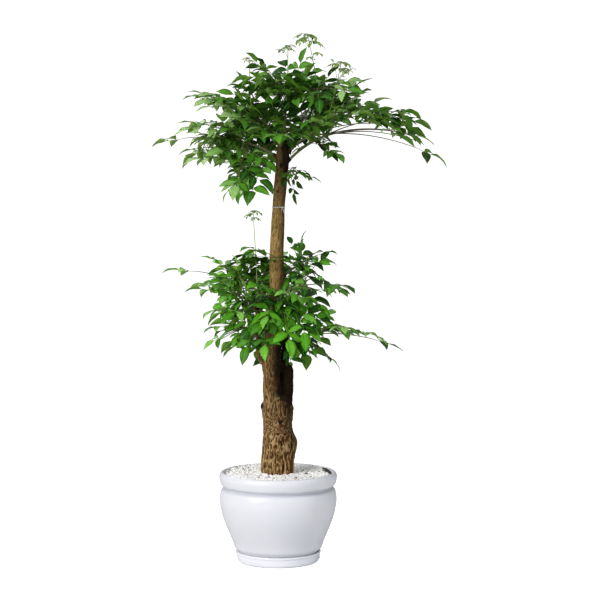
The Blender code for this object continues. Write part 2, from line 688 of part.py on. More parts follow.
class Sheet:
    """Closed thin blade: an upper and a lower face that share one outline.

    The points along the ribs are doubled, one raised and one lowered, and every triangle has
    at least one of them, so the two faces are split alike and never touch inside the outline.
    """

    def __init__(self):
        self.points = []
        self.faces = []

    def outline(self, point):
        self.points.append(point)
        index = len(self.points) - 1
        return index, index

    def edges(self, point, side, half):
        return [self.outline(point + side * half * hand) for hand in (-1.0, 1.0)]

    def rib(self, point, normal, height):
        self.points += [point + normal * height, point - normal * height]
        return len(self.points) - 2, len(self.points) - 1

    def triangle(self, first, second, third):
        self.faces.append((first[0], second[0], third[0]))
        self.faces.append((third[1], second[1], first[1]))

    def strip(self, rib_from, rib_to, edges_from, edges_to):
        for edge_from, edge_to in zip(edges_from, edges_to):
            self.triangle(rib_from, edge_from, rib_to)
            self.triangle(edge_from, edge_to, rib_to)

    def leaflet(self, rib, edge_from, edge_to, blade):
        first, tip, last = (self.outline(point) for point in blade_points(blade))
        self.triangle(rib, edge_from, first)
        self.triangle(rib, first, tip)
        self.triangle(rib, tip, last)
        self.triangle(rib, last, edge_to)

    def close_end(self, rib, edges):
        self.faces.append((edges[0][0], rib[0], rib[1]))
        self.faces.append((edges[1][0], rib[1], rib[0]))

    def side_leaf(self, rib, edges, leaf):
        """Stalk, first pair of leaflets and end leaflet, on from a rib point and its two edges."""
        stations, normal, side = leaflets_of(leaf)
        half = stalk_half(leaf)
        (root, pair), (end, last) = stations[0], stations[-1]
        node = self.rib(root, normal, BLADE_HEIGHT)
        near = self.edges(root - leaf.along * NOTCH_BEFORE * leaf.scale, side, half)
        self.strip(rib, node, edges, near)
        far = self.edges(root + leaf.along * NOTCH_AFTER * leaf.scale, side, half)
        self.leaflet(node, near[0], far[0], pair[0])
        self.leaflet(node, far[1], near[1], pair[1])
        end_node = self.rib(end, normal, BLADE_HEIGHT)
        waist = self.edges(end, side, half)
        self.strip(node, end_node, far, waist)
        self.leaflet(end_node, waist[0], waist[1], last[0])

    def mesh(self):
        return mesh_from(self.points, self.faces)


def stalk_half(leaf):
    return RIB_WIDTHS[1] * 0.5 * math.sqrt(leaf.scale)


def frond_mesh(frond, kept):
    """Rib of a leaf with the side leaves that are kept, as one closed sheet."""
    sheet = Sheet()
    last = len(frond.path) - 1
    rib_before = edges_before = None
    for station in range(last + 1):
        point, normal, half = frond.path[station], frond.normals[station], frond.widths[station] / 2
        tangent = frond.path[min(station + 1, last)] - frond.path[max(station - 1, 0)]
        tangent.normalize()
        side = tangent.cross(normal).normalized()
        foot = tangent * (STALK_FOOT if station < last else 0.0)
        rib = sheet.rib(point, normal, RIB_HEIGHT)
        low = sheet.edges(point - foot, side, half)
        high = list(low)
        for index, hand in enumerate((-1.0, 1.0)):
            if (station, hand) in kept:
                high[index] = sheet.outline(point + foot + side * hand * half)
        if rib_before:
            sheet.strip(rib_before, rib, edges_before, low)
        else:
            sheet.close_end(rib, low)
        for index, hand in enumerate((-1.0, 1.0)):
            if (station, hand) in kept:
                pair = (low[index], high[index])
                sheet.side_leaf(rib, pair if hand < 0 else pair[::-1], kept[(station, hand)])
        rib_before, edges_before = rib, high
    if (last, 0.0) in kept:
        sheet.side_leaf(rib_before, edges_before, kept[(last, 0.0)])
    else:
        sheet.close_end(rib_before, edges_before)
    return sheet.mesh()


def sprig_mesh(leaf):
    """One side leaf alone, closed at its root."""
    sheet = Sheet()
    _, normal, side = leaflets_of(leaf)
    rib = sheet.rib(leaf.root, normal, BLADE_HEIGHT)
    edges = sheet.edges(leaf.root, side, stalk_half(leaf))
    sheet.close_end(rib, edges)
    sheet.side_leaf(rib, edges, leaf)
    return sheet.mesh()


def box_of(points):
    return ([min(point[axis] for point in points) for axis in range(3)],
            [max(point[axis] for point in points) for axis in range(3)])


class Space:
    """What the plant already fills, as a search tree and a box for each piece of it."""

    def __init__(self):
        self.filled = []

    def fill(self, owner, shape):
        self.filled.append((owner, *box_of(shape[0]), BVHTree.FromPolygons(*shape)))

    def crossed(self, shape, besides=()):
        """Owner of the first thing that the shape crosses, or None where it is clear."""
        low, high = box_of(shape[0])
        tree = BVHTree.FromPolygons(*shape)
        for owner, other_low, other_high, other in self.filled:
            apart = any(low[axis] > other_high[axis] or high[axis] < other_low[axis]
                        for axis in range(3))
            if owner not in besides and not apart and tree.overlap(other):
                return owner
        return None


def sleeve(path, radius):
    """Four-sided sleeve round a path, as points and faces, to test what would cross it."""
    points, faces = [], []
    for index, point in enumerate(path):
        tangent = path[min(index + 1, len(path) - 1)] - path[max(index - 1, 0)]
        across = tangent.orthogonal().normalized() * radius
        other = tangent.cross(across).normalized() * radius
        points += [point + across, point + other, point - across, point - other]
    for level in range(len(path) - 1):
        for index in range(4):
            after = (index + 1) % 4
            faces.append((4 * level + index, 4 * level + after,
                          4 * level + 4 + after, 4 * level + 4 + index))
    return points, faces


def blade_shape(blade):
    """A leaflet a little larger and thicker than it is, to test what would cross it."""
    kite = [blade[0], *blade_points(blade)]
    centre = sum(kite, Vector()) / len(kite)
    points = [centre + (point - centre) * TEST_GROWTH + blade[2] * offset
              for offset in (CLEARANCE, -CLEARANCE) for point in kite]
    return points, [(0, 1, 2), (0, 2, 3), (4, 5, 6), (4, 6, 7)]


def settle(space, owner, leaf):
    """The side leaf, turned by small steps until it crosses nothing, or None where it can't."""
    side = leaf.along.cross(leaf.normal).normalized()
    for swing, rise in TURNS:
        along = leaf.along * math.cos(swing) + side * math.sin(swing) + UP * rise
        moved = leaf._replace(along=along.normalized())
        stations = leaflets_of(moved)[0]
        root, end = stations[0], stations[-1]
        shapes = [blade_shape(blade) for blade in (*root[1], *end[1])]
        stalk = sleeve([moved.root.lerp(root[0], 0.35), root[0], end[0]], stalk_half(leaf) + GAP)
        clear = not space.crossed(stalk, besides=(owner,))
        if clear and not any(space.crossed(shape) for shape in shapes):
            space.fill(owner + "_stalk", stalk)
            for shape in shapes:
                space.fill(owner + "_blade", shape)
            return moved
    return None


def grow_shoots():
    """Stem and leaves of each leafy shoot, before anything is turned or left out."""
    grown = []
    for shoot in SHOOTS:
        draw = random.Random(shoot.name)
        start, direction, reach = seat_of(shoot)
        seat = start + direction * (reach + GAP)
        path = bent_path(seat, direction, Vector(shoot.tip), SHOOT_STRAIGHT, SHOOT_BEND,
                         SHOOT_POINTS)
        fronds = [grow_frond(draw, point_along(path, share), Vector(tip))
                  for share, tip in zip(FROND_SHARES, shoot.fronds)]
        grown.append((shoot, path, fronds))
    return grown


def grow_sprouts(grown):
    """Stem and leaves of each pale young shoot, on from the end of what carries it."""
    ends = {shoot.name: (path[-1], path[-1] - path[-2]) for shoot, path, _ in grown}
    top, below = (Vector(section[:3]) for section in (SIDE_STEM[-1], SIDE_STEM[-2]))
    ends["side_stem"] = (top, top - below)
    sprouts = []
    for sprout in SPROUTS:
        draw = random.Random(sprout.name)
        end, direction = ends[sprout.carrier]
        direction = direction.normalized()
        start = end + direction * GAP
        path = bent_path(start, direction, Vector(sprout.tip), SPROUT_STRAIGHT, SPROUT_BEND,
                         SPROUT_POINTS)
        first_turn = draw.uniform(0.0, 2.0 * math.pi)
        leaves = []
        for index in range(SPROUT_LEAVES):
            angle = first_turn + 2.0 * math.pi * index / SPROUT_LEAVES + draw.uniform(-0.2, 0.2)
            outward = Vector((math.cos(angle), math.sin(angle), 0.0))
            along = (outward - UP * draw.uniform(*SPROUT_DROOP)).normalized()
            normal = (UP + outward * SPROUT_TILT).normalized()
            root = path[-1] - UP * SPROUT_RADII[1]
            leaves.append(SideLeaf(root, along, normal, 1, sprout.spread * SPROUT_LEAFLET,
                                   sprout.spread * SPROUT_STALK, draw.random()))
        sprouts.append((sprout, path, leaves))
    return sprouts


def fill_with_stems(space, trunk, grown, sprouts):
    """Trunk, shoots, ribs and young stems, which the side leaves have to stay clear of."""
    space.fill("trunk", ([vertex.co.copy() for vertex in trunk.data.vertices],
                         [tuple(face.vertices) for face in trunk.data.polygons]))
    for shoot, path, fronds in grown:
        space.fill(shoot.name, sleeve(path, SHOOT_RADII[0] + GAP))
        for index, frond in enumerate(fronds):
            space.fill(f"{shoot.name}_{index}", sleeve(frond.path, RIB_WIDTHS[0] / 2 + GAP))
    for sprout, path, _ in sprouts:
        space.fill(sprout.name, sleeve(path, SPROUT_RADII[0] + GAP))


def build_young_shoots(parts, material, space, sprouts):
    for sprout, path, leaves in sprouts:
        settled = [settle(space, sprout.name, leaf) for leaf in leaves]
        stem = tube_mesh(path, tapered(SPROUT_RADII, len(path)), 0)
        item = add_object(sprout.name, stem, parts, material)
        unite(item, [sprig_mesh(leaf) for leaf in settled if leaf])


def build_leafy_shoots(parts, materials, space, grown):
    """Each shoot with its leaves, as one closed body that crosses none of the others."""
    for shoot, path, fronds in grown:
        blades = []
        for index, frond in enumerate(fronds):
            kept = {}
            bare = BARE_RIBS.get((shoot.name, index), 0.0) * (len(frond.path) - 1)
            for station, hand, leaf in frond.leaves:
                if station < bare or (hand and (station % 2 == 0) == (hand > 0)):
                    continue
                settled = settle(space, f"{shoot.name}_{index}", leaf)
                if settled:
                    kept[(station, hand)] = settled
            blades.append(frond_mesh(frond, kept))
        stem = tube_mesh(path, tapered(SHOOT_RADII, len(path)))
        tier = shoot.name.split("_")[0]
        item = add_object(shoot.name, stem, parts, materials["leaf_" + tier])
        unite(item, blades)


def raise_onto_saucer(parts):
    """Raise all that stands in the saucer to the level that its heights are measured from."""
    for item in parts.objects:
        if item.name != "saucer":
            item.data.transform(Matrix.Translation((0.0, 0.0, STAND)))


def main():
    clear_scene()
    parts = make_collection(COLLECTION)
    materials = {name: make_material(name) for name in COLOURS}
    build_saucer(parts, materials["saucer_glaze"])
    build_pot(parts, materials["glaze"])
    build_soil(parts, materials["soil"])
    build_gravel(parts, materials["gravel"])
    trunk = build_trunk(parts, materials["bark"])
    build_tie(parts, materials["thread"])
    grown = grow_shoots()
    sprouts = grow_sprouts(grown)
    space = Space()
    fill_with_stems(space, trunk, grown, sprouts)
    build_young_shoots(parts, materials["leaf_young"], space, sprouts)
    build_leafy_shoots(parts, materials, space, grown)
    raise_onto_saucer(parts)


main()
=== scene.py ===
"""China doll plant in a glazed pot on a saucer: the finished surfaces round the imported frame.

Metres, +Z up. X runs to the right of the view and Y away from it. The origin is the centre of
the saucer's underside. Every piece is worked out here as whole arrays and rides on the root.
"""
import itertools
import logging
import math
import random
from dataclasses import dataclass, field
from enum import Enum
from typing import NamedTuple

import bpy
import numpy as np
from mathutils import Matrix, Vector


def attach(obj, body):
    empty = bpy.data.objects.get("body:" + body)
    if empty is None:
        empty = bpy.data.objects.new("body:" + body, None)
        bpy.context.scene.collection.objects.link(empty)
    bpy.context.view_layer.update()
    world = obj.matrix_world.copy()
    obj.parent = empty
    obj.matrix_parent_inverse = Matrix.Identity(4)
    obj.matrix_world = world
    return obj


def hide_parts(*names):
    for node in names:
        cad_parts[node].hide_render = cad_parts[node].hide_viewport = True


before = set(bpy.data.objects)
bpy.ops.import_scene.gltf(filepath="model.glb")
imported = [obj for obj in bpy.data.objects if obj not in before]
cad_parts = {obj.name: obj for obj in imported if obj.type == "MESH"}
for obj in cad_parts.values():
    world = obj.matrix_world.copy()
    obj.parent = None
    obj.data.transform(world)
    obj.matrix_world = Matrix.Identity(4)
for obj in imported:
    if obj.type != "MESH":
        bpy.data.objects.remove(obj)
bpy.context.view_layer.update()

LOG = logging.getLogger("china_doll_plant")
UP = Vector((0.0, 0.0, 1.0))
GOLDEN_ANGLE = math.pi * (3.0 - math.sqrt(5.0))
GAP = 0.0003
# All but the saucer is worked out from a level this far above the saucer's underside
STAND = 0.0080

Array = np.ndarray
Colour = tuple[float, float, float]
Place = tuple[float, float, float]


# ---- Tables shared with the solid part ----

class Limb(Enum):
    """Woody limbs of the trunk, as rows of x, y, z and radius from bottom to top."""

    FOOT = ((0.000, 0.000, 0.1650, 0.0500), (0.000, 0.000, 0.2803, 0.0500),
            (-0.002, 0.000, 0.2830, 0.0530), (-0.002, 0.000, 0.3050, 0.0555),
            (-0.001, 0.000, 0.3350, 0.0550), (0.003, 0.000, 0.3690, 0.0565),
            (0.006, 0.000, 0.3960, 0.0570), (0.004, 0.000, 0.4200, 0.0520),
            (0.000, 0.000, 0.4540, 0.0480), (-0.001, 0.000, 0.4900, 0.0515),
            (-0.002, 0.000, 0.5200, 0.0500), (0.001, 0.001, 0.5450, 0.0450),
            (0.002, 0.002, 0.5600, 0.0330))
    TALL_STEM = ((-0.014, -0.006, 0.5000, 0.0290), (-0.018, -0.010, 0.5550, 0.0300),
                 (-0.020, -0.012, 0.5900, 0.0287), (-0.022, -0.012, 0.6240, 0.0267),
                 (-0.024, -0.011, 0.6550, 0.0290), (-0.020, -0.008, 0.6900, 0.0280),
                 (-0.014, -0.004, 0.7430, 0.0261), (-0.007, -0.001, 0.8200, 0.0247),
                 (-0.005, 0.000, 0.9100, 0.0240), (-0.005, 0.000, 1.0100, 0.0236),
                 (-0.001, 0.000, 1.1100, 0.0224), (0.003, 0.000, 1.1950, 0.0211),
                 (0.010, 0.000, 1.2800, 0.0209), (0.016, 0.000, 1.3500, 0.0215),
                 (0.019, 0.000, 1.3950, 0.0205), (0.020, 0.000, 1.4120, 0.0130))
    CUT_ARM = ((0.020, 0.010, 0.5050, 0.0250), (0.0265, 0.016, 0.5550, 0.0250),
               (0.0280, 0.019, 0.5900, 0.0246), (0.0290, 0.019, 0.6230, 0.0240),
               (0.0310, 0.019, 0.6430, 0.0205), (0.0320, 0.018, 0.6560, 0.0110))
    LEADER = ((0.024, 0.016, 0.6100, 0.0120), (0.023, 0.017, 0.6600, 0.0125),
              (0.024, 0.016, 0.7100, 0.0115), (0.030, 0.018, 0.7600, 0.0105),
              (0.036, 0.020, 0.8100, 0.0090))
    SIDE_STEM = ((-0.030, -0.010, 0.6480, 0.0100), (-0.054, -0.013, 0.6720, 0.0095),
                 (-0.066, -0.012, 0.7060, 0.0088), (-0.0690, -0.006, 0.7730, 0.0084),
                 (-0.0690, 0.000, 0.8750, 0.0070))

    def at(self, height: float | Array) -> Array:
        """Rows of x, y, z and radius at some heights, straight between the nearest two."""
        rows = np.array(self.value)
        columns = [np.interp(height, rows[:, 2], rows[:, axis]) for axis in range(4)]
        return np.stack(columns, axis=-1)


class Tier(Enum):
    """Storeys of foliage, whose leaves differ in colour."""

    UPPER = "leaf_upper"
    LOWER = "leaf_lower"
    YOUNG = "leaf_young"


class ExtraLeaf(NamedTuple):
    """Leaf between those of the solid part: its tip, the share of the shoot's length at which
    it grows, and the numbers of the side leaves that it has lost."""

    tip: Place
    share: float
    lost: tuple[int, ...] = ()


@dataclass(frozen=True)
class ShootPlan:
    """A leafy shoot: its seat on its limb, its tip, and the tips of its leaves.

    The leaves in fronds are those of the solid part. Lost has the numbers of the side leaves
    that each of them lacks, and bare the share of its rib that has none.
    """

    name: str
    limb: Limb
    seat: float
    tip: Place
    fronds: tuple[Place, ...]
    lost: tuple[tuple[int, ...], ...] = ((), (), (), ())
    more: tuple[ExtraLeaf, ...] = ()
    bare: tuple[float, ...] = (0.0, 0.0, 0.0, 0.0)

    @property
    def tier(self) -> Tier:
        """Storey that the shoot belongs to, from its name."""
        return Tier.UPPER if self.name.startswith("upper") else Tier.LOWER


SHOOTS = (
    ShootPlan("upper_shoot_left_low", Limb.TALL_STEM, 1.300, (-0.080, -0.045, 1.335),
              ((-0.320, -0.120, 1.333), (-0.233, -0.120, 1.228), (-0.140, -0.160, 1.190)),
              ((2, 3), (2,), ()),
              (ExtraLeaf((-0.097, -0.275, 1.193), 0.43, (0, 2)),
               ExtraLeaf((-0.178, 0.053, 1.274), 0.94), ExtraLeaf((-0.343, 0.089, 1.374), 0.44),
               ExtraLeaf((-0.193, -0.111, 1.198), 0.76))),
    ShootPlan("upper_shoot_left", Limb.TALL_STEM, 1.340, (-0.110, 0.010, 1.405),
              ((-0.440, 0.020, 1.392), (-0.340, -0.100, 1.480), (-0.310, 0.200, 1.420)),
              ((4, 5), (3,), ()),
              (ExtraLeaf((-0.141, -0.302, 1.203), 0.89, (2, 3, 5)),
               ExtraLeaf((0.194, 0.186, 1.413), 0.42))),
    ShootPlan("upper_shoot_left_high", Limb.TALL_STEM, 1.385, (-0.070, 0.010, 1.490),
              ((-0.330, 0.120, 1.562), (-0.150, -0.080, 1.678), (-0.145, 0.140, 1.640),
               (-0.130, -0.180, 1.560)),
              ((0,), (0, 3, 4), (3,), ()),
              (ExtraLeaf((-0.128, 0.293, 1.246), 0.90, (6,)),
               ExtraLeaf((-0.254, -0.200, 1.561), 0.50, (1,)),
               ExtraLeaf((-0.340, -0.016, 1.309), 0.80), ExtraLeaf((-0.361, -0.057, 1.441), 0.40),
               ExtraLeaf((0.008, -0.064, 1.510), 0.48))),
    ShootPlan("upper_shoot_front", Limb.TALL_STEM, 1.370, (-0.010, -0.110, 1.430),
              ((-0.180, -0.320, 1.480), (0.010, -0.380, 1.400), (0.150, -0.330, 1.460)),
              ((3,), (), ()), (ExtraLeaf((-0.301, -0.123, 1.572), 0.59),)),
    ShootPlan("upper_shoot_top", Limb.TALL_STEM, 1.400, (0.030, -0.015, 1.560),
              ((-0.075, -0.050, 1.690), (0.098, 0.030, 1.716), (0.130, -0.130, 1.650),
               (0.000, -0.190, 1.600)),
              more=(ExtraLeaf((-0.106, 0.207, 1.321), 0.74),
                    ExtraLeaf((-0.059, -0.335, 1.648), 0.89),
                    ExtraLeaf((0.288, -0.231, 1.544), 0.96),
                    ExtraLeaf((-0.176, -0.076, 1.587), 0.65, (1,)),
                    ExtraLeaf((-0.115, -0.118, 1.687), 0.99))),
    ShootPlan("upper_shoot_right_high", Limb.TALL_STEM, 1.375, (0.120, 0.060, 1.490),
              ((0.250, 0.100, 1.650), (0.318, -0.020, 1.615), (0.190, 0.230, 1.600),
               (0.200, -0.100, 1.655)),
              more=(ExtraLeaf((0.004, 0.288, 1.697), 0.81),
                    ExtraLeaf((0.482, 0.066, 1.470), 0.82, (1, 3, 5)),
                    ExtraLeaf((0.094, 0.134, 1.511), 0.86))),
    ShootPlan("upper_shoot_right", Limb.TALL_STEM, 1.352, (0.130, -0.035, 1.440),
              ((0.385, 0.060, 1.548), (0.492, -0.030, 1.500), (0.340, -0.180, 1.520)),
              ((1, 3), (0, 2, 4), (0, 2, 4)),
              (ExtraLeaf((0.322, 0.111, 1.579), 0.99),
               ExtraLeaf((0.508, 0.036, 1.433), 0.87, (0, 1, 2, 3, 4, 6)))),
    ShootPlan("upper_shoot_right_long", Limb.TALL_STEM, 1.325, (0.185, 0.010, 1.441),
              ((0.585, -0.010, 1.358), (0.520, 0.140, 1.412), (0.226, -0.100, 1.330)),
              ((7, 8), (4, 5, 6, 7), (0, 1)),
              (ExtraLeaf((0.266, 0.234, 1.621), 0.90, (1,)), ExtraLeaf((0.203, 0.203, 1.399), 0.37),
               ExtraLeaf((0.202, -0.065, 1.338), 0.60, (1,)),
               ExtraLeaf((0.057, -0.049, 1.372), 0.66, (1,)),
               ExtraLeaf((0.282, 0.021, 1.515), 0.75),
               ExtraLeaf((0.534, 0.135, 1.468), 0.88, (0, 1, 2, 4)),
               ExtraLeaf((0.527, -0.148, 1.401), 0.94, (0, 1, 2, 3, 4, 5)),
               ExtraLeaf((0.586, -0.020, 1.332), 0.92, (0, 1, 2, 3, 4, 5, 6, 7))),
              bare=(0.62, 0.42, 0.0)),
    ShootPlan("upper_shoot_right_low", Limb.TALL_STEM, 1.275, (0.050, -0.030, 1.310),
              ((0.130, -0.010, 1.278), (0.100, -0.070, 1.225)), ((0,), (0, 1, 2)),
              (ExtraLeaf((0.056, 0.074, 1.315), 0.47, (0,)),
               ExtraLeaf((0.039, -0.148, 1.283), 0.77, (1,)),
               ExtraLeaf((0.060, -0.050, 1.200), 0.50))),
    ShootPlan("upper_shoot_back", Limb.TALL_STEM, 1.365, (0.015, 0.110, 1.440),
              ((0.040, 0.390, 1.490), (-0.190, 0.320, 1.490), (0.260, 0.310, 1.470)),
              ((), (4,), ())),
    ShootPlan("lower_shoot_left_long", Limb.TALL_STEM, 0.860, (-0.130, 0.040, 0.930),
              ((-0.403, 0.040, 0.974), (-0.267, 0.080, 1.047), (-0.230, 0.170, 0.900)),
              ((2, 3), (2,), ()),
              (ExtraLeaf((0.209, 0.109, 0.995), 0.89), ExtraLeaf((-0.223, 0.108, 1.018), 0.80),
               ExtraLeaf((-0.213, -0.045, 0.876), 0.57), ExtraLeaf((-0.256, -0.006, 1.034), 0.93),
               ExtraLeaf((-0.271, 0.198, 0.910), 0.84))),
    ShootPlan("lower_shoot_left", Limb.SIDE_STEM, 0.840, (-0.120, -0.040, 0.890),
              ((-0.317, -0.040, 0.907), (-0.150, -0.060, 1.030), (-0.220, -0.190, 0.950)),
              more=(ExtraLeaf((-0.304, 0.070, 0.911), 1.00),)),
    ShootPlan("lower_shoot_left_down", Limb.SIDE_STEM, 0.760, (-0.120, -0.050, 0.790),
              ((-0.256, -0.060, 0.772), (-0.280, -0.120, 0.680), (-0.210, -0.170, 0.750)),
              ((), (0, 2), (0, 2)),
              (ExtraLeaf((-0.103, 0.229, 1.036), 0.81), ExtraLeaf((-0.066, 0.223, 0.637), 0.32),
               ExtraLeaf((-0.261, -0.056, 0.705), 0.66))),
    ShootPlan("lower_shoot_front_left", Limb.TALL_STEM, 0.790, (-0.060, -0.110, 0.850),
              ((-0.180, -0.250, 0.840), (-0.122, -0.200, 0.663), (-0.040, -0.235, 0.672)),
              more=(ExtraLeaf((-0.158, 0.218, 0.707), 0.37),
                    ExtraLeaf((-0.050, -0.120, 0.662), 0.60))),
    ShootPlan("lower_shoot_front", Limb.TALL_STEM, 0.850, (0.010, -0.120, 0.910),
              ((-0.100, -0.300, 0.930), (0.050, -0.270, 0.690), (0.060, -0.320, 0.900),
               (-0.050, -0.270, 0.790))),
    ShootPlan("lower_shoot_right_low", Limb.LEADER, 0.720, (0.110, -0.020, 0.765),
              ((0.442, 0.000, 0.706), (0.210, -0.120, 0.670), (0.140, -0.140, 0.590)),
              ((1, 3, 4, 5), (0, 2), (0, 2)),
              (ExtraLeaf((0.030, 0.185, 0.593), 0.31, (3,)),
               ExtraLeaf((0.372, -0.193, 0.752), 0.34, (0, 2, 4)),
               ExtraLeaf((0.198, 0.075, 0.839), 0.85),
               ExtraLeaf((0.181, -0.108, 0.737), 0.57, (0,)),
               ExtraLeaf((0.097, 0.176, 0.624), 0.61),
               ExtraLeaf((0.304, -0.074, 0.764), 0.95, (0, 1)),
               ExtraLeaf((0.223, 0.009, 0.629), 0.34), ExtraLeaf((0.022, -0.090, 0.658), 0.60))),
    ShootPlan("lower_shoot_right", Limb.TALL_STEM, 0.880, (0.100, -0.030, 0.930),
              ((0.335, 0.000, 0.878), (0.230, -0.150, 0.850), (0.150, -0.200, 0.950)),
              ((0, 1, 4), (0, 2), (0,)),
              (ExtraLeaf((0.102, -0.247, 0.713), 0.31),
               ExtraLeaf((0.073, 0.140, 1.065), 0.92, (1,)),
               ExtraLeaf((0.173, 0.055, 1.029), 0.73, (1,)))),
    ShootPlan("lower_shoot_right_high", Limb.TALL_STEM, 0.930, (0.080, 0.040, 0.995),
              ((0.205, 0.060, 1.037), (0.090, 0.030, 1.095), (0.203, 0.120, 0.950)),
              ((), (0,), (0, 2)),
              (ExtraLeaf((-0.254, 0.091, 0.954), 0.52),
               ExtraLeaf((-0.130, -0.140, 1.065), 0.44, (2,)),
               ExtraLeaf((0.220, 0.095, 0.871), 0.88), ExtraLeaf((0.152, 0.131, 1.034), 0.73),
               ExtraLeaf((0.034, -0.040, 1.085), 0.90, (0, 1)))),
    ShootPlan("lower_shoot_back", Limb.TALL_STEM, 0.820, (0.010, 0.110, 0.880),
              ((-0.180, 0.300, 0.880), (0.010, 0.340, 0.930), (0.210, 0.290, 0.880)),
              ((), (), (3,)),
              (ExtraLeaf((-0.249, -0.187, 0.832), 0.52), ExtraLeaf((0.184, 0.202, 0.745), 0.99))),
)


@dataclass(frozen=True)
class SproutPlan:
    """A pale young shoot: what it grows on from, its tip, how far its arms reach, how many
    there are, and the tips of larger arms that leave the stem below them."""

    name: str
    carrier: str
    tip: Place
    spread: float
    arms: int
    lower: tuple[Place, ...] = ()


SPROUTS = (
    SproutPlan("young_shoot_top", "upper_shoot_right_high", (0.097, 0.100, 1.782), 0.050, 10,
               ((0.140, 0.050, 1.706), (0.103, 0.020, 1.692))),
    SproutPlan("young_shoot_top_left", "upper_shoot_top", (0.034, 0.010, 1.738), 0.027, 8,
               ((0.010, 0.000, 1.716),)),
    SproutPlan("young_shoot_top_right", "upper_shoot_right", (0.212, -0.050, 1.676), 0.046, 9,
               ((0.185, -0.060, 1.668), (0.243, -0.040, 1.650))),
    SproutPlan("young_shoot_far_left", "upper_shoot_left_high", (-0.092, -0.030, 1.703), 0.027, 6),
    SproutPlan("young_shoot_lone", "side_stem", (-0.084, 0.000, 1.186), 0.034, 7),
)


# ---- Arrays, noise and meshes ----

def unit(vectors: Array) -> Array:
    """Vectors along the last axis, each divided by its length."""
    return vectors / np.maximum(np.linalg.norm(vectors, axis=-1, keepdims=True), 1e-9)


def smoothstep(low: float, high: float, values: Array) -> Array:
    """Share t of the way from low to high, eased as t squared times (3 - 2t)."""
    share = np.clip((values - low) / (high - low), 0.0, 1.0)
    return share * share * (3.0 - 2.0 * share)


def lattice_noise(points: Array, seed: int) -> Array:
    """Smooth noise from 0 to 1 at each point.

    Formula: every corner of the unit cell round a point has a hashed value, and the eight are
    blended by the point's eased place between them.

    Args:
        points: Places in lattice units, one row each.
        seed: Number that picks the noise.

    Returns:
        One value for each point.
    """
    cell = np.floor(points).astype(np.int64)
    place = points - cell
    ease = place * place * (3.0 - 2.0 * place)
    total = np.zeros(len(points))
    for corner in itertools.product((0, 1), repeat=3):
        at = cell + corner
        key = (at[:, 0] * 73856093) ^ (at[:, 1] * 19349663) ^ (at[:, 2] * 83492791)
        key = (key ^ (seed * 2654435)) & 0xFFFFFFFF
        key = ((key ^ (key >> 15)) * 2246822519) & 0xFFFFFFFF
        key = ((key ^ (key >> 13)) * 3266489917) & 0xFFFFFFFF
        value = ((key ^ (key >> 16)) & 0xFFFFFF) / float(0xFFFFFF)
        total += value * np.prod(np.where(corner, ease, 1.0 - ease), axis=1)
    return total


def crests(noise: Array, width: float) -> Array:
    """Thin crests where the noise passes its middle: a bell of its distance from there."""
    return np.exp(-((2.0 * noise - 1.0) / width) ** 2)


def smooth_line(points: Array, steps: int, closed: bool = False) -> Array:
    """Catmull-Rom curve through the points, with some steps between each two.

    Formula: between two points the line is the cubic whose slope at each point is half the way
    from the point before to the point after.

    Args:
        points: Rows that the line passes through.
        steps: Samples for each stretch.
        closed: Whether the line runs on from its last point to its first.

    Returns:
        The samples in order. An open line ends with its last point.
    """
    if closed:
        padded = np.concatenate([points[-1:], points, points[:2]])
    else:
        ahead, behind = 2 * points[:1] - points[1:2], 2 * points[-1:] - points[-2:-1]
        padded = np.concatenate([ahead, points, behind])
    before, start, end, after = padded[:-3], padded[1:-2], padded[2:-1], padded[3:]
    t = (np.arange(steps) / steps)[None, :, None]
    first, second = (end - before)[:, None] / 2, (after - start)[:, None] / 2
    start, end = start[:, None], end[:, None]
    samples = ((2 * t**3 - 3 * t**2 + 1) * start + (t**3 - 2 * t**2 + t) * first
               + (-2 * t**3 + 3 * t**2) * end + (t**3 - t**2) * second)
    samples = samples.reshape(-1, points.shape[1])
    return samples if closed else np.concatenate([samples, points[-1:]])


@dataclass
class Surface:
    """Points and faces of a shape, with a UV place and a tone for each point."""

    points: Array
    quads: Array
    triangles: Array
    uv: Array
    tone: Array
    quad_slots: Array
    triangle_slots: Array


def plain_surface(points: Array, quads: Array, triangles: Array) -> Surface:
    """Surface of one material, with no UV places and no tone of its own."""
    return Surface(points, quads, triangles, np.zeros((len(points), 2)), np.zeros(len(points)),
                   np.zeros(len(quads), int), np.zeros(len(triangles), int))


def sleeve_faces(rows: int, sides: int) -> tuple[Array, Array]:
    """Faces of a grid of rings whose first and last rings are closed by a pole each.

    Args:
        rows: Number of rings. Ring by ring their points come first, and the two poles last.
        sides: Points in a ring, which run round the sleeve's direction.

    Returns:
        The quads between the rings and the triangles at the poles, facing outwards.
    """
    ring = np.arange(sides)
    after = (ring + 1) % sides
    low = np.arange(rows - 1)[:, None] * sides
    quads = np.stack([low + ring, low + after, low + sides + after, low + sides + ring], axis=-1)
    start, end = rows * sides, rows * sides + 1
    last = (rows - 1) * sides
    first_fan = np.stack([np.full(sides, start), after, ring], axis=-1)
    last_fan = np.stack([np.full(sides, end), last + ring, last + after], axis=-1)
    return quads.reshape(-1, 4), np.concatenate([first_fan, last_fan])


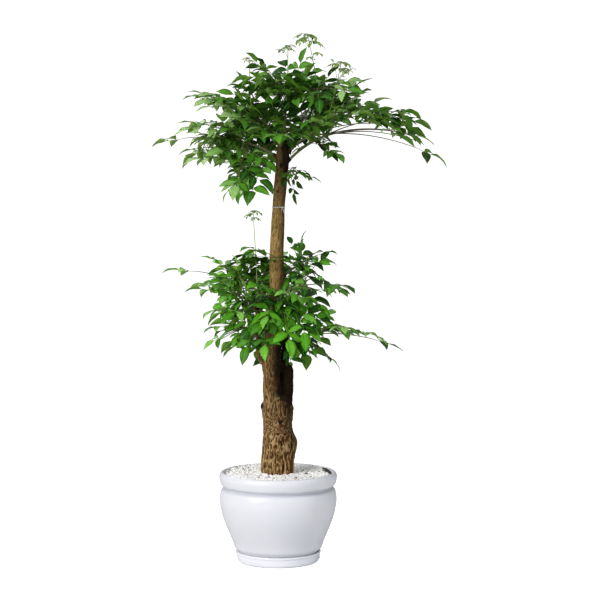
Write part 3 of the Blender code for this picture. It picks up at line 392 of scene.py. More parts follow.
def repeat_surface(points: Array, quads: Array, triangles: Array, uv: Array, tone: Array,
                   quad_slots: Array, triangle_slots: Array) -> Surface:
    """Many copies of one set of faces, each on its own points.

    Args:
        points: Points as copies by points by 3.
        quads: Quads of one copy.
        triangles: Triangles of one copy.
        uv: UV places of one copy's points.
        tone: One value for each copy.
        quad_slots: Material slot of each quad of one copy.
        triangle_slots: Material slot of each triangle of one copy.

    Returns:
        One surface that holds them all.
    """
    copies, size = points.shape[:2]
    offset = (np.arange(copies) * size)[:, None, None]
    return Surface(points.reshape(-1, 3), (quads[None] + offset).reshape(-1, 4),
                   (triangles[None] + offset).reshape(-1, 3), np.tile(uv, (copies, 1)),
                   np.repeat(tone, size), np.tile(quad_slots, copies),
                   np.tile(triangle_slots, copies))


def tubes(paths: Array, radii: Array, sides: int, tone: Array, slot: int = 0) -> Surface:
    """Round tubes along several paths that have the same number of points.

    Formula: a ring is its centre plus radius times (cos a times side plus sin a times lift),
    where side and lift stand square to the path, and a runs once round.

    Args:
        paths: Centres as tubes by points by 3.
        radii: Radii as tubes by points.
        sides: Points in a ring.
        tone: One value for each tube.
        slot: Material slot of the tubes.

    Returns:
        The closed tubes, with U along them and V round them.
    """
    count, rows = paths.shape[:2]
    tangent = unit(np.gradient(paths, axis=1))
    chord = unit(paths[:, -1] - paths[:, 0])
    upright = np.abs(chord[:, 2:]) > 0.8
    reference = np.where(upright, np.array([1.0, 0.0, 0.0]), np.array([0.0, 0.0, 1.0]))
    side = unit(np.cross(tangent, reference[:, None]))
    lift = np.cross(tangent, side)
    angle = 2.0 * np.pi * np.arange(sides) / sides
    around = np.cos(angle)[:, None] * side[:, :, None] + np.sin(angle)[:, None] * lift[:, :, None]
    rings = paths[:, :, None] + radii[:, :, None, None] * around
    poles = np.stack([paths[:, 0], paths[:, -1]], axis=1)
    points = np.concatenate([rings.reshape(count, rows * sides, 3), poles], axis=1)
    quads, triangles = sleeve_faces(rows, sides)
    along = np.repeat(np.linspace(0.0, 1.0, rows), sides)
    uv = np.stack([along, np.tile(angle / (2.0 * np.pi), rows)], axis=-1)
    uv = np.concatenate([uv, [[0.0, 0.0], [1.0, 0.0]]])
    return repeat_surface(points, quads, triangles, uv, tone,
                          np.full(len(quads), slot), np.full(len(triangles), slot))


def turned(profile: Array, steps: int, closed: bool = False) -> Surface:
    """Surface of revolution whose profile runs up its outer side.

    Formula: a point is (r cos a, r sin a, z) for each radius and height of the profile.

    Args:
        profile: Rows of radius and height. An open one starts and ends on the axis.
        steps: Points round the axis.
        closed: Whether the profile is a loop, so that the shape has a hole on its axis.

    Returns:
        The closed surface.
    """
    angle = 2.0 * np.pi * np.arange(steps) / steps
    rows = profile if closed else profile[1:-1]
    radius, height = rows[:, :1], rows[:, 1:]
    rings = np.stack([radius * np.cos(angle), radius * np.sin(angle),
                      np.broadcast_to(height, (len(rows), steps))], axis=-1)
    points = rings.reshape(-1, 3)
    quads, triangles = sleeve_faces(len(rows), steps)
    if closed:
        ring, after = np.arange(steps), (np.arange(steps) + 1) % steps
        last = (len(rows) - 1) * steps
        seam = np.stack([last + ring, last + after, after, ring], axis=-1)
        quads, triangles = np.concatenate([quads, seam]), np.zeros((0, 3), int)
    else:
        poles = [(0.0, 0.0, profile[0, 1]), (0.0, 0.0, profile[-1, 1])]
        points = np.concatenate([points, poles])
    return plain_surface(points, quads, triangles)


def build_mesh(name: str, surfaces: list[Surface]) -> bpy.types.Mesh:
    """One smooth mesh from several surfaces, with their UV places and tones.

    Args:
        name: Name of the mesh.
        surfaces: What it holds. Their faces stay apart.

    Returns:
        The mesh, with a UV map and an attribute named tone.
    """
    sizes = [len(surface.points) for surface in surfaces]
    offsets = np.concatenate([[0], np.cumsum(sizes)[:-1]])
    points = np.concatenate([surface.points for surface in surfaces])
    quads = np.concatenate([s.quads + offset for s, offset in zip(surfaces, offsets)])
    triangles = np.concatenate([s.triangles + offset for s, offset in zip(surfaces, offsets)])
    corners = np.concatenate([quads.ravel(), triangles.ravel()]).astype(np.int32)
    lengths = np.concatenate([np.full(len(quads), 4), np.full(len(triangles), 3)])
    starts = np.concatenate([[0], np.cumsum(lengths)[:-1]]).astype(np.int32)
    slots = np.concatenate([s.quad_slots for s in surfaces] + [s.triangle_slots for s in surfaces])
    uv = np.concatenate([surface.uv for surface in surfaces])
    tone = np.concatenate([surface.tone for surface in surfaces])

    mesh = bpy.data.meshes.new(name)
    mesh.vertices.add(len(points))
    mesh.vertices.foreach_set("co", points.astype(np.float32).ravel())
    mesh.loops.add(len(corners))
    mesh.loops.foreach_set("vertex_index", corners)
    mesh.polygons.add(len(starts))
    mesh.polygons.foreach_set("loop_start", starts)
    mesh.polygons.foreach_set("material_index", slots.astype(np.int32))
    mesh.update(calc_edges=True)
    mesh.uv_layers.new(name="UVMap").data.foreach_set("uv", uv[corners].astype(np.float32).ravel())
    set_tone(mesh, "tone", tone)
    mesh.shade_smooth()
    return mesh


def set_tone(mesh: bpy.types.Mesh, name: str, values: Array) -> None:
    """Store one number for each point of the mesh under a name that materials read."""
    attribute = mesh.attributes.get(name) or mesh.attributes.new(name, "FLOAT", "POINT")
    attribute.data.foreach_set("value", values.astype(np.float32))


def show(name: str, mesh: bpy.types.Mesh, finishes: list[bpy.types.Material], slot: str,
         *nodes: str, rise: float = STAND) -> bpy.types.Object:
    """Put a mesh in the scene as a piece that rides on the root and stands for CAD nodes.

    Args:
        name: Name of the piece.
        mesh: Its mesh.
        finishes: Materials in the order of their slots.
        slot: Slot of the record for the piece's finish. It is not used.
        nodes: CAD nodes that it replaces.
        rise: How far the mesh is raised to its place.

    Returns:
        The piece.
    """
    mesh.transform(Matrix.Translation((0.0, 0.0, rise)))
    for finish in finishes:
        mesh.materials.append(finish)
    piece = bpy.data.objects.new(name, mesh)
    bpy.context.scene.collection.objects.link(piece)
    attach(piece, "root")
    if nodes:
        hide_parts(*nodes)
    return piece


# ---- Shader nodes and finishes ----

Source = float | Colour | bpy.types.NodeSocket


@dataclass
class Bench:
    """Places and wires the nodes of one tree."""

    tree: bpy.types.NodeTree

    def add(self, kind: str, inputs: dict[str | int, Source] | None = None,
            **settings: object) -> bpy.types.Node:
        """Add a node.

        Args:
            kind: Type of the node, without its ShaderNode prefix.
            inputs: Values or sockets for its inputs, by name or place.
            settings: Properties of the node.

        Returns:
            The node.
        """
        node = self.tree.nodes.new("ShaderNode" + kind)
        for name, value in settings.items():
            setattr(node, name, value)
        for key, value in (inputs or {}).items():
            self.feed(node.inputs[key], value)
        return node

    def feed(self, socket: bpy.types.NodeSocket, value: Source) -> None:
        """Link a socket to another, or set it to a plain value."""
        if isinstance(value, bpy.types.NodeSocket):
            self.tree.links.new(value, socket)
        elif isinstance(value, tuple) and socket.type == "RGBA":
            socket.default_value = (*value, 1.0)
        else:
            socket.default_value = value

    def math(self, operation: str, *values: Source, clamp: bool = False) -> bpy.types.NodeSocket:
        """Result of a Math node on one, two or three values."""
        node = self.add("Math", dict(enumerate(values)), operation=operation, use_clamp=clamp)
        return node.outputs[0]

    def ramp(self, factor: Source, *stops: tuple[float, Colour]) -> bpy.types.NodeSocket:
        """Colour of a ramp with stops of place and colour."""
        node = self.add("ValToRGB", {"Fac": factor})
        elements = node.color_ramp.elements
        while len(elements) < len(stops):
            elements.new(0.5)
        for element, (place, colour) in zip(elements, stops):
            element.position = place
            element.color = (*colour, 1.0)
        return node.outputs["Color"]

    def blend(self, factor: Source, first: Source, second: Source,
              mode: str = "MIX") -> bpy.types.NodeSocket:
        """Second colour laid over the first by a factor."""
        node = self.add("Mix", data_type="RGBA", blend_type=mode)
        for key, value in ((0, factor), (6, first), (7, second)):
            self.feed(node.inputs[key], value)
        return node.outputs[2]

    def dim(self, colour: Source, grey: Source) -> bpy.types.NodeSocket:
        """Colour times a grey value."""
        grey = self.add("CombineColor", {0: grey, 1: grey, 2: grey}).outputs[0]
        return self.blend(1.0, colour, grey, mode="MULTIPLY")

    def drawn_out(self, where: Source, upright: float) -> bpy.types.NodeSocket:
        """Place whose height counts for less, so that a pattern on it is drawn out upright."""
        return self.add("Mapping", {"Vector": where, "Scale": (1.0, 1.0, upright)}).outputs[0]

    def tone(self, name: str) -> bpy.types.NodeSocket:
        """Value of a number that the piece's mesh stores for each point."""
        return self.add("Attribute", attribute_name=name).outputs["Fac"]

    def place(self) -> bpy.types.NodeSocket:
        """Place on the piece, in metres."""
        return self.add("TexCoord").outputs["Object"]

    def noise(self, where: Source, scale: float, detail: float = 3.0,
              roughness: float = 0.55) -> bpy.types.NodeSocket:
        """Value of a noise texture at a place."""
        return self.add("TexNoise", {"Vector": where, "Scale": scale, "Detail": detail,
                                     "Roughness": roughness}).outputs[0]


def node_group(name: str, inputs: dict[str, float], outputs: tuple[str, ...],
               ) -> tuple[bpy.types.NodeTree, bpy.types.Node, bpy.types.Node]:
    """Empty shader node group with named sockets, each of them a number.

    Args:
        name: Name of the group.
        inputs: Default of each input.
        outputs: Name of each output.

    Returns:
        The group, its input node and its output node.
    """
    tree = bpy.data.node_groups.new(name, "ShaderNodeTree")
    for label, default in inputs.items():
        socket = tree.interface.new_socket(label, in_out="INPUT", socket_type="NodeSocketFloat")
        socket.default_value = default
    for label in outputs:
        tree.interface.new_socket(label, in_out="OUTPUT", socket_type="NodeSocketFloat")
    return tree, tree.nodes.new("NodeGroupInput"), tree.nodes.new("NodeGroupOutput")


class Effects:
    """Node groups that several finishes share, each built once."""

    _built: dict[str, bpy.types.NodeTree] = {}

    @classmethod
    def mottle(cls) -> bpy.types.NodeTree:
        """Soft patches with fine grain in them, from 0 to 1."""
        if "mottle" not in cls._built:
            tree, entry, leave = node_group(
                "mottle", {"Patch size": 0.02, "Grain size": 0.002, "Grain share": 0.3}, ("Mask",))
            bench = Bench(tree)
            where = bench.place()
            patch, grain = (
                bench.add("TexNoise", {"Vector": where, "Detail": detail, "Scale": bench.math(
                    "DIVIDE", 1.0, entry.outputs[size])}).outputs[0]
                for size, detail in (("Patch size", 3.0), ("Grain size", 2.0)))
            share = entry.outputs["Grain share"]
            mixed = bench.math("ADD", bench.math("MULTIPLY", grain, share),
                               bench.math("MULTIPLY", patch, bench.math("SUBTRACT", 1.0, share)))
            mask = bench.math("MULTIPLY_ADD", mixed, 2.2, -0.6, clamp=True)
            bench.feed(leave.inputs["Mask"], mask)
            cls._built["mottle"] = tree
        return cls._built["mottle"]

    @classmethod
    def veins(cls) -> bpy.types.NodeTree:
        """Midrib and curved side veins of a leaflet, from its UV map."""
        if "veins" not in cls._built:
            tree, entry, leave = node_group(
                "veins", {"Vein count": 8.0, "Midrib width": 0.05}, ("Midrib", "Veins"))
            bench = Bench(tree)
            split = bench.add("SeparateXYZ", {0: bench.add("TexCoord").outputs["UV"]})
            along, across = split.outputs[0], split.outputs[1]
            off = bench.math("ABSOLUTE", bench.math("SUBTRACT", across, 0.5))
            width = entry.outputs["Midrib width"]
            midrib = bench.math("SUBTRACT", 1.0, bench.math("DIVIDE", off, width), clamp=True)
            bent = bench.math("SUBTRACT", along, bench.math("POWER", off, 0.8))
            wave = bench.math("FRACT", bench.math("MULTIPLY", bent, entry.outputs["Vein count"]))
            near = bench.math("ABSOLUTE", bench.math("SUBTRACT", wave, 0.5))
            vein = bench.math("SUBTRACT", 1.0, bench.math("DIVIDE", near, 0.16), clamp=True)
            bench.feed(leave.inputs["Midrib"], midrib)
            bench.feed(leave.inputs["Veins"], vein)
            cls._built["veins"] = tree
        return cls._built["veins"]

    @staticmethod
    def use(bench: Bench, tree: bpy.types.NodeTree, **values: float) -> bpy.types.Node:
        """Place a group in a material, with values for its inputs named in lower case."""
        node = bench.add("Group", node_tree=tree)
        for label, value in values.items():
            bench.feed(node.inputs[label.replace("_", " ").capitalize()], value)
        return node


@dataclass(frozen=True)
class Finish:
    """A material whose shader has plain values for gloss, and a colour that is built up."""

    name: str
    roughness: float = 0.5
    coat: float = 0.0
    specular: float = 0.5

    def start(self) -> tuple[bpy.types.Material, Bench, bpy.types.Node]:
        """New material with its plain values set on the shader's own sockets."""
        material = bpy.data.materials.new(self.name)
        material.use_nodes = True
        shader = material.node_tree.nodes["Principled BSDF"]
        shader.inputs["Roughness"].default_value = self.roughness
        shader.inputs["Coat Weight"].default_value = self.coat
        shader.inputs["Coat Roughness"].default_value = 0.05
        shader.inputs["Specular IOR Level"].default_value = self.specular
        return material, Bench(material.node_tree), shader

    @staticmethod
    def bump(bench: Bench, shader: bpy.types.Node, height: Source, distance: float,
             strength: float = 1.0) -> None:
        """Raise the surface by a height from 0 to 1 times a distance in metres."""
        node = bench.add("Bump", {"Height": height, "Distance": distance, "Strength": strength})
        bench.feed(shader.inputs["Normal"], node.outputs["Normal"])


@dataclass(frozen=True)
class LeafFinish(Finish):
    """Leaflet's skin, dark to bright by its tone, with its midrib and side veins."""

    dark: Colour = (0.004, 0.053, 0.000)
    middle: Colour = (0.072, 0.258, 0.009)
    bright: Colour = (0.320, 0.520, 0.180)
    vein: Colour = (0.320, 0.520, 0.190)
    vein_share: float = 0.35
    raised: bool = False

    def build(self) -> bpy.types.Material:
        """Make the material."""
        material, bench, shader = self.start()
        veins = Effects.use(bench, Effects.veins())
        mottle = Effects.use(bench, Effects.mottle(), patch_size=0.012, grain_size=0.0015,
                             grain_share=0.35)
        shift = bench.math("MULTIPLY_ADD", mottle.outputs[0], 0.22, -0.11)
        tone = bench.math("ADD", bench.tone("tone"), shift, clamp=True)
        skin = bench.ramp(tone, (0.0, self.dark), (0.5, self.middle), (1.0, self.bright))
        lines = bench.math("MAXIMUM", veins.outputs["Midrib"],
                           bench.math("MULTIPLY", veins.outputs["Veins"], 0.35))
        skin = bench.blend(bench.math("MULTIPLY", lines, self.vein_share), skin, self.vein)
        bench.feed(shader.inputs["Base Color"], skin)
        height = lines if self.raised else bench.math("SUBTRACT", 1.0, lines)
        self.bump(bench, shader, height, 0.0004, 0.6)
        return material


@dataclass(frozen=True)
class StalkFinish(Finish):
    """Green shoots and leaf stalks, browner by their tone."""

    green: Colour = (0.090, 0.190, 0.030)
    brown: Colour = (0.090, 0.055, 0.028)

    def build(self) -> bpy.types.Material:
        """Make the material."""
        material, bench, shader = self.start()
        mottle = Effects.use(bench, Effects.mottle(), patch_size=0.02, grain_size=0.002,
                             grain_share=0.4)
        tone = bench.math("ADD", bench.tone("tone"),
                          bench.math("MULTIPLY_ADD", mottle.outputs[0], 0.5, -0.25), clamp=True)
        skin = bench.ramp(tone, (0.0, self.green), (1.0, self.brown))
        bench.feed(shader.inputs["Base Color"], skin)
        self.bump(bench, shader, mottle.outputs[0], 0.0003)
        return material


@dataclass(frozen=True)
class BarkFinish(Finish):
    """Bark: corky and ridged at the foot, finer and lighter up the tall stem."""

    gap: Colour = (0.006, 0.002, 0.000)
    flank: Colour = (0.085, 0.040, 0.008)
    ridge: Colour = (0.390, 0.260, 0.120)
    red: Colour = (0.075, 0.016, 0.003)
    smooth_dark: Colour = (0.050, 0.031, 0.004)
    smooth_light: Colour = (0.360, 0.228, 0.080)
    moss: Colour = (0.110, 0.085, 0.015)
    shadow: Colour = (0.008, 0.005, 0.002)

    def build(self) -> bpy.types.Material:
        """Make the material."""
        material, bench, shader = self.start()
        ridge, cork, shade = bench.tone("tone"), bench.tone("cork"), bench.tone("shade")
        where = bench.place()
        fine = bench.noise(bench.drawn_out(where, 0.20), 480.0, 4.0, 0.65)
        patches = bench.noise(bench.drawn_out(where, 0.35), 42.0, 3.0)
        rough = bench.ramp(bench.math("MULTIPLY_ADD", fine, 0.5, bench.math("ADD", ridge, -0.25)),
                           (0.02, self.gap), (0.27, self.flank), (0.88, self.ridge))
        red = bench.math("MULTIPLY", bench.math("MULTIPLY_ADD", patches, 7.0, -3.3, clamp=True),
                         bench.math("SUBTRACT", 0.9, ridge, clamp=True))
        rough = bench.blend(red, rough, self.red)
        grain = bench.math("MULTIPLY_ADD", fine, 1.1,
                           bench.math("MULTIPLY_ADD", ridge, 0.45, -0.28))
        sleek = bench.ramp(grain, (0.15, self.smooth_dark), (0.70, self.smooth_light))
        green = bench.math("MULTIPLY_ADD", patches, -5.0, 2.25, clamp=True)
        sleek = bench.blend(bench.math("MULTIPLY", green, 0.6), sleek, self.moss)
        bark = bench.dim(bench.blend(cork, sleek, rough),
                         bench.math("MULTIPLY_ADD", fine, 1.1, 0.45))
        # Painted shade from the shade attribute, which also holds the darker scars.
        bark = bench.blend(shade, bark, self.shadow)
        bench.feed(shader.inputs["Base Color"], bark)
        self.bump(bench, shader, fine, 0.0008)
        return material


@dataclass(frozen=True)
class GlazeFinish(Finish):
    """White glaze over a slightly uneven body, bluer where it is thick, darkened by its tone as
    painted shade in the crease.
    """

    thin: Colour = (0.685, 0.690, 0.720)
    thick: Colour = (0.655, 0.663, 0.712)
    painted_crease_shade: Colour = (0.360, 0.375, 0.430)

    def build(self) -> bpy.types.Material:
        """Make the material."""
        material, bench, shader = self.start()
        where = bench.place()
        pools = bench.noise(where, 9.0, 2.0)
        glaze = bench.ramp(pools, (0.35, self.thin), (0.75, self.thick))
        # The tone blends in painted shade under the rim, in the crease.
        bench.feed(shader.inputs["Base Color"], bench.blend(bench.tone("tone"), glaze, self.painted_crease_shade))
        waves = bench.noise(where, 26.0, 2.0)
        self.bump(bench, shader, waves, 0.0011, 0.5)
        return material


@dataclass(frozen=True)
class StoneFinish(Finish):
    """Crushed white stone, from black over brown to white by its tone."""

    def build(self) -> bpy.types.Material:
        """Make the material."""
        material, bench, shader = self.start()
        tone = bench.tone("tone")
        stone = bench.ramp(tone, (0.0, (0.020, 0.017, 0.015)), (0.2, (0.16, 0.11, 0.075)),
                           (0.4, (0.54, 0.50, 0.46)), (0.62, (0.88, 0.86, 0.84)),
                           (1.0, (0.95, 0.95, 0.95)))
        grain = bench.noise(bench.place(), 900.0, 3.0)
        speck = bench.math("MULTIPLY_ADD", grain, 0.25, 0.88, clamp=True)
        bench.feed(shader.inputs["Base Color"], bench.dim(stone, speck))
        self.bump(bench, shader, grain, 0.0003)
        return material


@dataclass(frozen=True)
class CrumbFinish(Finish):
    """Loose dark soil, or grit under the stones where the tone is high."""

    dark: Colour = (0.016, 0.011, 0.008)
    light: Colour = (0.060, 0.040, 0.027)
    grit: Colour = (0.78, 0.76, 0.74)

    def build(self) -> bpy.types.Material:
        """Make the material."""
        material, bench, shader = self.start()
        mottle = Effects.use(bench, Effects.mottle(), patch_size=0.009, grain_size=0.0016,
                             grain_share=0.6)
        soil = bench.ramp(mottle.outputs[0], (0.2, self.dark), (0.9, self.light))
        bench.feed(shader.inputs["Base Color"], bench.blend(bench.tone("tone"), soil, self.grit))
        self.bump(bench, shader, mottle.outputs[0], 0.0015)
        return material


@dataclass(frozen=True)
class ThreadFinish(Finish):
    """Twisted white thread, grey in the grooves of its twist as painted shade."""

    colour: Colour = (0.78, 0.78, 0.74)

    def build(self) -> bpy.types.Material:
        """Make the material."""
        material, bench, shader = self.start()
        split = bench.add("SeparateXYZ", {0: bench.add("TexCoord").outputs["UV"]})
        turns = bench.math("MULTIPLY_ADD", split.outputs[0], 90.0, split.outputs[1])
        twist = bench.math("ABSOLUTE", bench.math("SUBTRACT", bench.math("FRACT", turns), 0.5))
        # The grey in the twist's grooves is painted shade.
        bench.feed(shader.inputs["Base Color"], bench.ramp(
            twist, (0.0, (0.45, 0.44, 0.40)), (0.35, self.colour)))
        self.bump(bench, shader, twist, 0.0004)
        return material


# ---- Pot, saucer and gravel ----

@dataclass
class Saucer:
    """Glazed saucer with a rounded lip."""

    rim: float = 0.1445
    wall: float = 0.0088
    height: float = 0.0360
    floor: float = 0.0100
    foot: float = 0.1325
    steps: int = 160

    def profile(self) -> Array:
        """Rows of radius and height, up the outer side, over the lip and down to the floor."""
        outer = smooth_line(np.array([(self.foot, 0.0), (0.1364, 0.0032), (0.1394, 0.0095),
                                      (0.1412, 0.0200), (0.1417, 0.0262), (0.1436, 0.0290),
                                      (self.rim, self.height - 0.0030)]), 8)
        angle = np.radians(np.linspace(0.0, 180.0, 14))[1:]
        middle = self.rim - self.wall / 2
        lip = np.stack([middle + self.wall / 2 * np.cos(angle),
                        self.height - 0.0030 + 0.0030 * np.sin(angle)], axis=-1)
        inside = smooth_line(np.array([lip[-1], (0.1358, 0.0230), (0.1325, 0.0140),
                                       (0.1290, self.floor)]), 6)[1:]
        return np.concatenate([[(0.0, 0.0)], outer, lip, inside, [(0.0, self.floor)]])

    def build(self, finish: bpy.types.Material) -> bpy.types.Object:
        """Make the saucer. Its lip is a little thicker on the left, so the gap there is less."""
        surface = turned(self.profile(), self.steps)
        x, y, z = surface.points.T
        inner = (z > self.floor + GAP) & (np.hypot(x, y) < self.rim - self.wall / 2)
        surface.points[:, 0] += 0.0018 * inner
        mesh = build_mesh("saucer_glazed", [surface])
        mesh.set_sharp_from_angle(angle=math.radians(50.0))
        return show("saucer_glazed", mesh, [finish], "saucer_glaze", "saucer", rise=0.0)


@dataclass
class Pot:
    """Glazed pot with a rolled rim over a crease, and a foot ring under it."""

    bottom: float = 0.0023
    floor: float = 0.0180
    foot: float = 0.1285
    ring: float = 0.0240
    recess: float = 0.0050
    drain: float = 0.0120
    crease: float = 0.2440
    steps: int = 192

    def profile(self) -> Array:
        """Loop of radius and height: up the outside, over the rim, down the inside."""
        low = self.bottom + self.recess
        base = [(self.drain, low), (self.foot - self.ring - self.recess, low),
                (self.foot - self.ring, self.bottom), (self.foot - 0.003, self.bottom)]
        body = smooth_line(np.array([
            (self.foot, 0.0203), (0.1400, 0.0330), (0.1485, 0.0420), (0.1560, 0.0640),
            (0.1700, 0.0980), (0.1830, 0.1300), (0.1925, 0.1620), (0.1985, 0.2020),
            (0.1950, 0.2310), (0.1895, 0.2400)]), 7)
        rim = smooth_line(np.array([
            (0.1830, 0.2436), (0.1845, 0.2492), (0.1935, 0.2555), (0.1978, 0.2670),
            (0.2000, 0.2820), (0.1955, 0.2930), (0.1900, 0.2965), (0.1845, 0.2950),
            (0.1800, 0.2875), (0.1775, 0.2560)]), 7)
        inside = smooth_line(np.array([
            (0.1775, 0.2560), (0.1875, 0.2020), (0.1720, 0.1300), (0.1370, 0.0480),
            (0.1200, self.floor)]), 6)[1:]
        return np.concatenate([base, body, rim, inside, [(self.drain, self.floor)]])

    def build(self, finish: bpy.types.Material) -> bpy.types.Object:
        """Make the pot. Its tone is painted shade: a bell round the crease on the outside, more on
        the right.
        """
        surface = turned(self.profile(), self.steps, closed=True)
        x, y, z = surface.points.T
        # Painted shade under the rim: a bell round the crease, stronger towards the right.
        crease_shade = np.exp(-((z - self.crease) / 0.0052) ** 2)
        surface.tone = (0.62 + 1.1 * x) * crease_shade * (np.hypot(x, y) > 0.1815)
        mesh = build_mesh("pot_glazed", [surface])
        mesh.set_sharp_from_angle(angle=math.radians(50.0))
        return show("pot_glazed", mesh, [finish], "glaze", "pot")


@dataclass
class GravelBed:
    """Crushed white stone over the soil, with a crescent of dark soil by the rim."""

    inner: float = 0.0560
    outer: float = 0.1785
    bottom: float = 0.2640
    top: float = 0.2845
    stones: int = 2350
    sizes: tuple[float, float] = (0.0032, 0.0058)
    bare_angle: float = math.radians(9.0)
    bare_spread: float = math.radians(18.0)
    bare_radius: float = 0.1705
    bare_width: float = 0.0085
    dark_spots: tuple[tuple[float, float], ...] = (
        (-0.1720, -0.008), (-0.149, 0.087), (-0.066, -0.0995), (-0.0295, -0.0894),
        (0.0942, -0.0281), (0.1155, 0.1198), (0.1107, -0.0995), (-0.168, 0.030),
        (-0.120, 0.060), (-0.105, -0.045), (0.060, -0.120), (0.135, 0.020), (-0.012, -0.130))

    def bareness(self, points: Array) -> Array:
        """How bare the bed is at each point: one in the crescent, falling off as a bell."""
        radius = np.hypot(points[..., 0], points[..., 1])
        angle = np.arctan2(points[..., 1], points[..., 0])
        along = np.exp(-((angle - self.bare_angle) / self.bare_spread) ** 4)
        return along * np.exp(-((radius - self.bare_radius) / self.bare_width) ** 2)

    def bed(self) -> Surface:
        """Grit under the stones: a ring whose top turns to heaped soil in the crescent."""
        radii = np.linspace(self.inner - 0.004, self.outer, 30)
        loop = np.concatenate([np.stack([radii[::-1], np.full(30, self.top)], axis=-1),
                               [(self.inner - 0.004, self.bottom), (self.outer, self.bottom)]])
        surface = turned(loop, 144, closed=True)
        points = surface.points
        upper = points[:, 2] > self.top - GAP
        bare = self.bareness(points)
        bumps = lattice_noise(points * 260.0, 5)
        points[:, 2] += upper * (0.0025 * (bumps - 0.5) + self.rise(points))
        surface.tone = np.where(upper, 1.0 - smoothstep(0.15, 0.4, bare), 0.0)
        return surface

    def rise(self, points: Array) -> Array:
        """How far the gravel stands over its level: more by the rim, and most in the crescent."""
        edge = smoothstep(0.120, 0.172, np.hypot(points[..., 0], points[..., 1]))
        return 0.0040 * edge + 0.0025 * self.bareness(points)

    def stone_shape(self) -> tuple[Array, Array]:
        """Block of 3 by 3 by 3 points less its middle, with each point drawn to the sphere."""
        grid = np.array([p for p in itertools.product((-1, 0, 1), repeat=3) if any(p)])
        index = {tuple(p): i for i, p in enumerate(grid.tolist())}
        faces = []
        for axis, sign in itertools.product(range(3), (-1, 1)):
            one, two = (axis + 1) % 3, (axis + 2) % 3
            for low_one, low_two in itertools.product((-1, 0), repeat=2):
                corners = []
                for step_one, step_two in ((0, 0), (1, 0), (1, 1), (0, 1)):
                    corner = [0, 0, 0]
                    corner[axis] = sign
                    corner[one], corner[two] = low_one + step_one, low_two + step_two
                    corners.append(index[tuple(corner)])
                faces.append(corners if sign > 0 else corners[::-1])
        points = grid * 0.42 + unit(grid.astype(float)) * 0.58
        return points, np.array(faces)

    def stone_field(self) -> Surface:
        """All the stones: the block turned, stretched and dented at random, spread evenly.

        Formula: stone n of N stands at the radius whose square is n/N of the way from the
        inner to the outer radius squared, turned by n golden angles, and a little off that.
        """
        rng = np.random.default_rng(41)
        count = self.stones
        share = (np.arange(count) + 0.5) / count
        radius = np.sqrt(self.inner ** 2 + share * ((self.outer - 0.004) ** 2 - self.inner ** 2))
        angle = np.arange(count) * GOLDEN_ANGLE
        centre = np.stack([radius * np.cos(angle), radius * np.sin(angle)], axis=-1)
        centre += rng.normal(0.0, 0.0014, centre.shape)
        centre = centre[np.hypot(centre[:, 0], centre[:, 1]) < self.outer - 0.0035]
        size = rng.uniform(*self.sizes, len(centre))
        tone = np.clip(rng.normal(0.82, 0.13, len(centre)), 0.45, 1.0)
        tone = np.where(rng.random(len(centre)) < 0.022, rng.uniform(0.12, 0.4, len(centre)), tone)
        spots = np.array(self.dark_spots)
        nearest = np.argmin(np.linalg.norm(centre[:, None] - spots, axis=-1), axis=0)
        tone[nearest] = rng.uniform(0.0, 0.10, len(spots))
        tone = np.where(self.bareness(centre) > 0.30, rng.uniform(0.0, 0.06, len(centre)), tone)
        height = self.top + rng.uniform(0.0004, 0.0040, len(centre)) + self.rise(centre)
        height[nearest] += 0.0022
        heap = np.exp(-((np.hypot(centre[:, 0], centre[:, 1]) - self.inner) / 0.014) ** 2)
        height += 0.0035 * heap
        shape, quads = self.stone_shape()
        turn = unit(rng.normal(size=(len(centre), 4)))
        w, x, y, z = turn.T
        rotation = np.stack([
            np.stack([1 - 2 * (y * y + z * z), 2 * (x * y - w * z), 2 * (x * z + w * y)], axis=-1),
            np.stack([2 * (x * y + w * z), 1 - 2 * (x * x + z * z), 2 * (y * z - w * x)], axis=-1),
            np.stack([2 * (x * z - w * y), 2 * (y * z + w * x), 1 - 2 * (x * x + y * y)], axis=-1),
        ], axis=1)
        stretch = rng.uniform(0.72, 1.22, (len(centre), 1, 3))
        dents = 1.0 + rng.uniform(-0.16, 0.10, (len(centre), len(shape), 1))
        stones = np.einsum("nij,nvj->nvi", rotation, shape * stretch * dents)
        stones = stones * size[:, None, None]
        stones += np.concatenate([centre, height[:, None]], axis=1)[:, None]
        return repeat_surface(stones, quads, np.zeros((0, 3), int), np.zeros((len(shape), 2)), tone,
                              np.zeros(len(quads), int), np.zeros(0, int))

    def build(self, stone: bpy.types.Material,
              crumbs: bpy.types.Material) -> list[bpy.types.Object]:
        """Make the bed and its stones."""
        bed = show("gravel_bed", build_mesh("gravel_bed", [self.bed()]), [crumbs], "gravel")
        mesh = build_mesh("gravel_stones", [self.stone_field()])
        return [bed, show("gravel_stones", mesh, [stone], "gravel", "pebbles")]


# ---- Trunk ----

